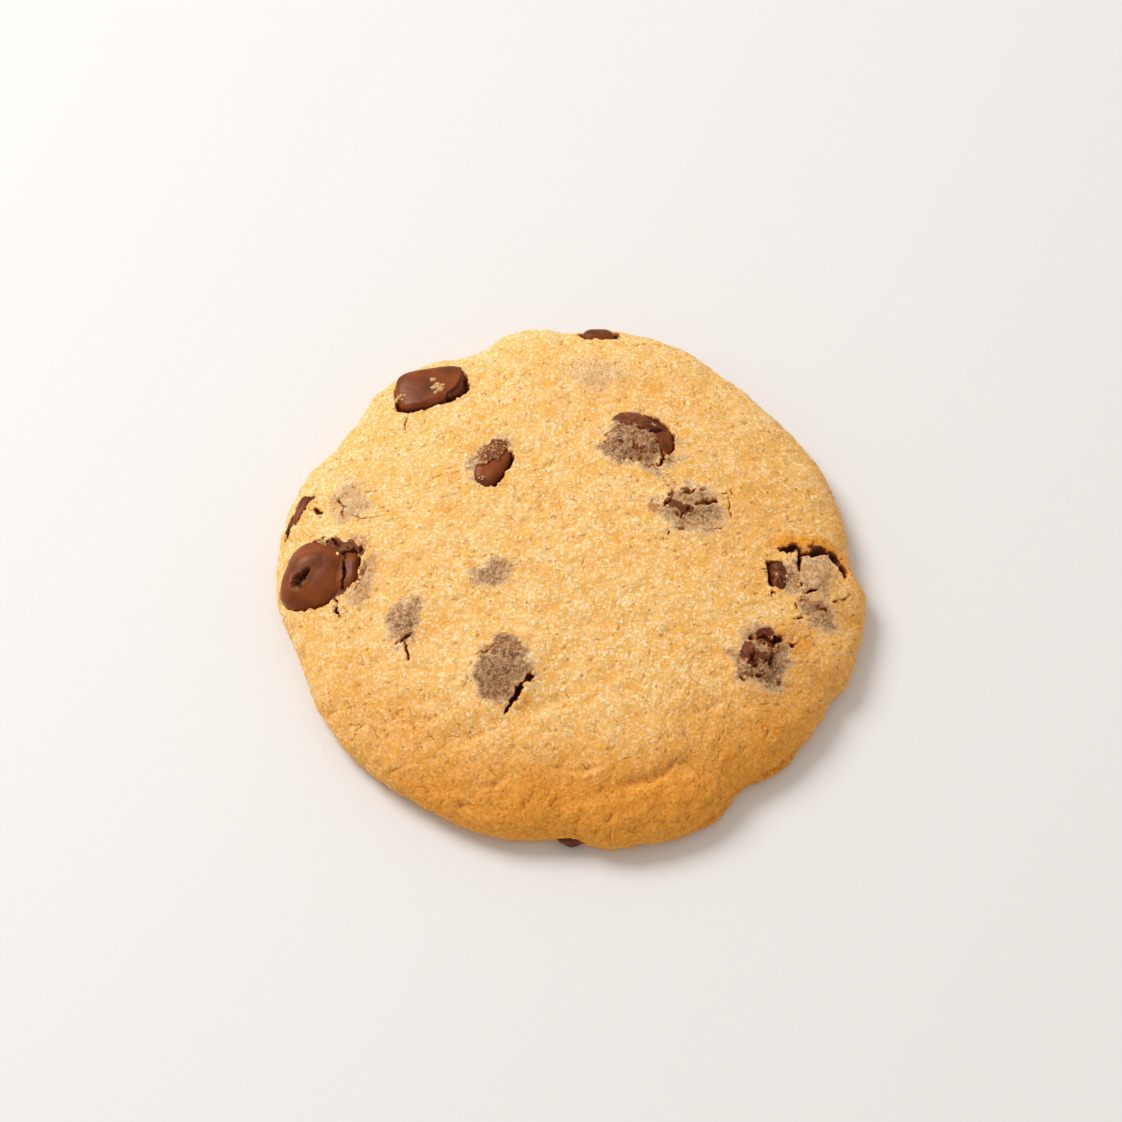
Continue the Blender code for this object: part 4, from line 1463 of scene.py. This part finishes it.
def make_crust_and_grains():
    """The crust, and the loose grains all over it but for its flat underside, pockets and cracks.

    Returns the finish of the smallest grains.
    """
    points, triangles, fields = crust_sheet()
    level = fields.pop("level")
    seams = smoothstep(0.02, 0.05, np.abs(fields["seam"])) + 1 - fields["opened"]
    colours = stained(points, level)
    wanted = (level > -0.8) * (fields["deep"] < 0.15) * np.clip(seams, 0, 1)
    wanted = wanted * (1.15 - fields["hollow"])
    wanted = wanted * (1 - 0.35 * colours["film"])
    # Less painted shade in the hollows where the crust is brown
    fields["hollow"] = fields["hollow"] * (1 - 0.8 * colours["brown"])
    crust = piece_from("crust", points, triangles, fields | colours, crust_finish())
    show(crust, "baked_dough", "dough")
    for seed, kind in enumerate(GRAIN_KINDS, 101):
        name, spacing, most, smallest, largest, sunk, paleness, roughness = kind
        places, normals, at = scatter(points, triangles, wanted, spacing, most, seed)
        clear = pore_share(places) < 0.3
        places, normals, at = places[clear], normals[clear], at[clear]
        draw = np.random.default_rng(seed)
        sizes = smallest + (largest - smallest) * draw.random(len(places)) ** 2
        # Smaller by up to this share near the tallest height, so that none stands past the frame
        sizes = sizes * (1 - 0.45 * smoothstep(TALLEST - 2 * PRESSED, TALLEST, places[:, 2]))
        grain_points, grain_triangles, foot = grains(places, normals, sizes, sunk, seed)
        grain_fields = stained(places, level[at]) | {"tone": draw.random(len(places)) ** 1.5}
        grain_fields["film"] = 0.8 * grain_fields["film"]
        corners = len(TWENTY_FACES[0])
        grain_fields = {label: np.repeat(values, corners) for label, values in grain_fields.items()}
        grain_fields["foot"] = foot
        finish = grain_finish(name, paleness, roughness)
        show(piece_from(name, grain_points, grain_triangles, grain_fields, finish), "baked_dough")
    return finish


def worked_skin(chip, directions):
    """A chip's skin, pushed in or out along lines to its middle, and how much painted shade each
    point takes: all of it in a tear, and some past a ledge and in broken patches.

    It is rough by noise and sunk under its cover. Past a ledge's line it drops by a smooth step,
    behind a raised edge, and takes painted shade beyond it. A raised line is a bell across its path,
    and a tear has steep sides.
    """
    points = chip.skin(directions)
    inward = unit(chip.middle - points)
    roughness = CHIP_ROUGHNESS.get(chip.name, PLAIN_ROUGHNESS)
    is_broken = roughness > BROKEN_ROUGHNESS
    fine = layered_noise(points, 0.0012 if is_broken else 0.0022, 111)
    upper = points[:, 2] > chip.middle[2]
    broken = smoothstep(-0.2, 0.3, layered_noise(points, 0.0008, 113)) * is_broken
    push = roughness * fine + CHIP_SETTLED * upper * covering(chip, points)
    # Painted shade in broken patches, more on a rougher chip
    deep = min(roughness / 0.0002, 1) * 0.85 * broken
    x, y = points[:, 0], points[:, 1]
    for path, drop in CHIP_LEDGES.get(chip.name, ()):
        edge = np.interp(y, [py for _, py in path][::-1], [px for px, _ in path][::-1])
        push = push + drop * upper * smoothstep(0, 0.00022, x - edge + 0.00006 * fine)
        push = push - 0.0001 * upper * np.exp(-(((x - edge + 0.0001) / 0.0002) ** 2))
        # Painted shade on the chip's side past the ledge
        deep = np.maximum(deep, 0.6 * upper * smoothstep(0, 0.0003, x - edge))
    for path, half_width, rise in CHIP_RIDGES.get(chip.name, ()):
        away, along = distance_to_path(x, y, path)
        ends = np.sin(np.pi * (0.1 + 0.8 * along))
        push = push - rise * upper * np.exp(-((away / half_width) ** 2)) * ends
    x, y = jagged(points)
    for path, start, end, depth in CHIP_TEARS.get(chip.name, ()):
        away, along = distance_to_path(x, y, path)
        half_width = start + (end - start) * along
        side = smoothstep(half_width - TEAR_EDGE, half_width + TEAR_EDGE, away)
        inside = upper * (1 - side) * (half_width > TEAR_EDGE)
        push = push + depth * inside
        # Painted shade in the tear
        deep = np.maximum(deep, inside)
    return points + inward * push[:, None], deep


def make_chip(chip, finish):
    """Makes the piece that stands for a chip's node: its worked skin on a wrapped sheet."""
    cells = WORKED_CHIP_CELLS if chip.name in CHIP_TEARS else PLAIN_CHIP_CELLS
    directions, triangles = ball_sheet(cells)
    points, deep = worked_skin(chip, directions)
    name = chip.name.replace("chip_", "chocolate_")
    piece = piece_from(name, points, triangles, {"deep": deep}, finish)
    show(piece, "chocolate", chip.name)


# Crumbs that lie on the chips: chip, place, spread, how many, size from and to, paleness
CRUMBS = (
    ("chip_top_left", (-0.0184, 0.0266), 0.0006, 14, 0.0005, 0.0011, 0.0),
    ("chip_top_left", (-0.0190, 0.0280), 0.0003, 4, 0.0004, 0.0007, 0.0),
    ("chip_top_left", (-0.0236, 0.0254), 0.0006, 14, 0.0003, 0.0006, 0.3),
    ("chip_top_left", (-0.0192, 0.0246), 0.0003, 3, 0.0003, 0.0004, 1.0),
    ("chip_left", (-0.0352, 0.0004), 0.0002, 1, 0.0003, 0.0004, 0.0),
    ("chip_middle_left", (-0.0119, 0.0106), 0.0004, 4, 0.0003, 0.0004, 0.6),
    ("chip_upper_right", (0.0115, 0.0193), 0.0003, 2, 0.0003, 0.0004, 0.5),
    ("chip_right_edge", (0.0274, -0.0037), 0.0002, 2, 0.0003, 0.0005, 0.5),
    ("chip_right_edge", (0.0276, -0.0047), 0.0003, 4, 0.0003, 0.0004, 0.5),
    ("chip_right_edge", (0.0285, -0.0046), 0.0008, 16, 0.0003, 0.0006, 0.4),
    ("chip_lower_right", (0.0251, -0.0143), 0.0006, 5, 0.0003, 0.0005, 0.3),
)


# How far those crumbs are sunk, how brown they are, and how much chocolate has coloured them
CRUMB_SUNK = 0.2
CRUMB_BROWN = 0.9
CRUMB_FILM = 0.45


def make_crumbs(finish):
    """Little heaps of grains on the chips: places drawn by chance round each heap's middle, and set
    on the chip's roof."""
    draw = np.random.default_rng(131)
    chips = {chip.name: chip for chip in CHIPS}
    places, sizes, tones = [], [], []
    for name, place, reach, count, smallest, largest, paleness in CRUMBS:
        spots = np.zeros((count, 3))
        spots[:, :2] = place + reach * 0.55 * draw.normal(size=(count, 2))
        spots[:, 2] = chips[name].roof(spots)
        places.append(spots)
        sizes.append(draw.uniform(smallest, largest, count))
        tones.append(paleness * draw.random(count))
    places, sizes, tones = np.concatenate(places), np.concatenate(sizes), np.concatenate(tones)
    lying = places[:, 2] > 0
    places, sizes, tones = places[lying], sizes[lying], tones[lying]
    up = np.tile((0.0, 0.0, 1.0), (len(places), 1))
    points, triangles, foot = grains(places, up, sizes, CRUMB_SUNK, 132)
    fields = {"tone": np.repeat(tones, len(TWENTY_FACES[0])), "foot": foot}
    fields["brown"] = np.full(len(points), CRUMB_BROWN)
    fields["film"] = np.full(len(points), CRUMB_FILM)
    show(piece_from("chip_crumbs", points, triangles, fields, finish), "baked_dough")


def make_floor():
    """A wide, plain, pale floor: one square."""
    corners = FLOOR_HALF * np.array(((-1, -1, 0), (1, -1, 0), (1, 1, 0), (-1, 1, 0)))
    f = Finish("pale_floor")
    f.shader.inputs["Base Color"].default_value = rgb(0.750, 0.748, 0.757)
    f.shader.inputs["Roughness"].default_value = 0.6
    floor = piece_from("floor", corners, np.array(((0, 1, 2), (0, 2, 3))), {}, f.material)


def aim(thing, place, target):
    """Places a lamp or camera, looking at the target along its own -Z."""
    back = unit(np.subtract(place, target))
    right = unit(np.cross((0, 0, 1), back))
    up = np.cross(back, right)
    turned = np.stack((right, up, back), -1)
    thing.matrix_world = Matrix.Translation(place) @ Matrix(turned.tolist()).to_4x4()


def make_lamp(name, place, size, power, colour):
    """A round lamp, turned towards the cookie's middle."""
    lamp = bpy.data.lights.new(name, "AREA")
    lamp.shape = "DISK"
    lamp.size = size
    lamp.energy = power
    lamp.color = colour
    holder = bpy.data.objects.new(name, lamp)
    bpy.context.scene.collection.objects.link(holder)
    aim(holder, place, (0, 0, 0))


# The floor, the window's light in watts and from where, and the room's own light
FLOOR_HALF = 1.5
WINDOW_PLACE = (-0.50, 0.415, 0.69)
WINDOW_SIZE = 0.50
WINDOW_POWER = 6.9
WINDOW_COLOUR = (1.0, 0.995, 0.98)
ROOM_COLOUR = rgb(1.0, 0.93, 0.84)
ROOM_STRENGTH = 0.645


def make_light():
    """A large soft window of light from the back left, and an even pale room."""
    make_lamp("window", WINDOW_PLACE, WINDOW_SIZE, WINDOW_POWER, WINDOW_COLOUR)
    world = bpy.data.worlds.new("pale_room")
    world.use_nodes = True
    background = world.node_tree.nodes["Background"]
    background.inputs["Color"].default_value = ROOM_COLOUR
    background.inputs["Strength"].default_value = ROOM_STRENGTH
    bpy.context.scene.world = world
    bpy.context.scene.view_settings.view_transform = "Standard"


# The photograph's viewpoint
CAMERA_ELEVATION = 60.0
CAMERA_DISTANCE = 0.330
CAMERA_TARGET = (-0.00123, 0.0019, 0.0030)
LENS_MM = 78.0
SENSOR_MM = 36.0


def make_camera():
    """The camera at the photograph's viewpoint, in front of the cookie and above it."""
    lens = bpy.data.cameras.new("camera")
    lens.lens = LENS_MM
    lens.sensor_width = SENSOR_MM
    lens.clip_start = 0.01
    holder = bpy.data.objects.new("camera", lens)
    bpy.context.scene.collection.objects.link(holder)
    rise = math.radians(CAMERA_ELEVATION)
    away = np.array((0, -math.cos(rise), math.sin(rise))) * CAMERA_DISTANCE
    aim(holder, np.add(CAMERA_TARGET, away), CAMERA_TARGET)
    bpy.context.scene.camera = holder


make_camera()
make_light()
make_floor()
make_crumbs(make_crust_and_grains())
chocolate = chocolate_finish()
for chip in CHIPS:
    make_chip(chip, chocolate)
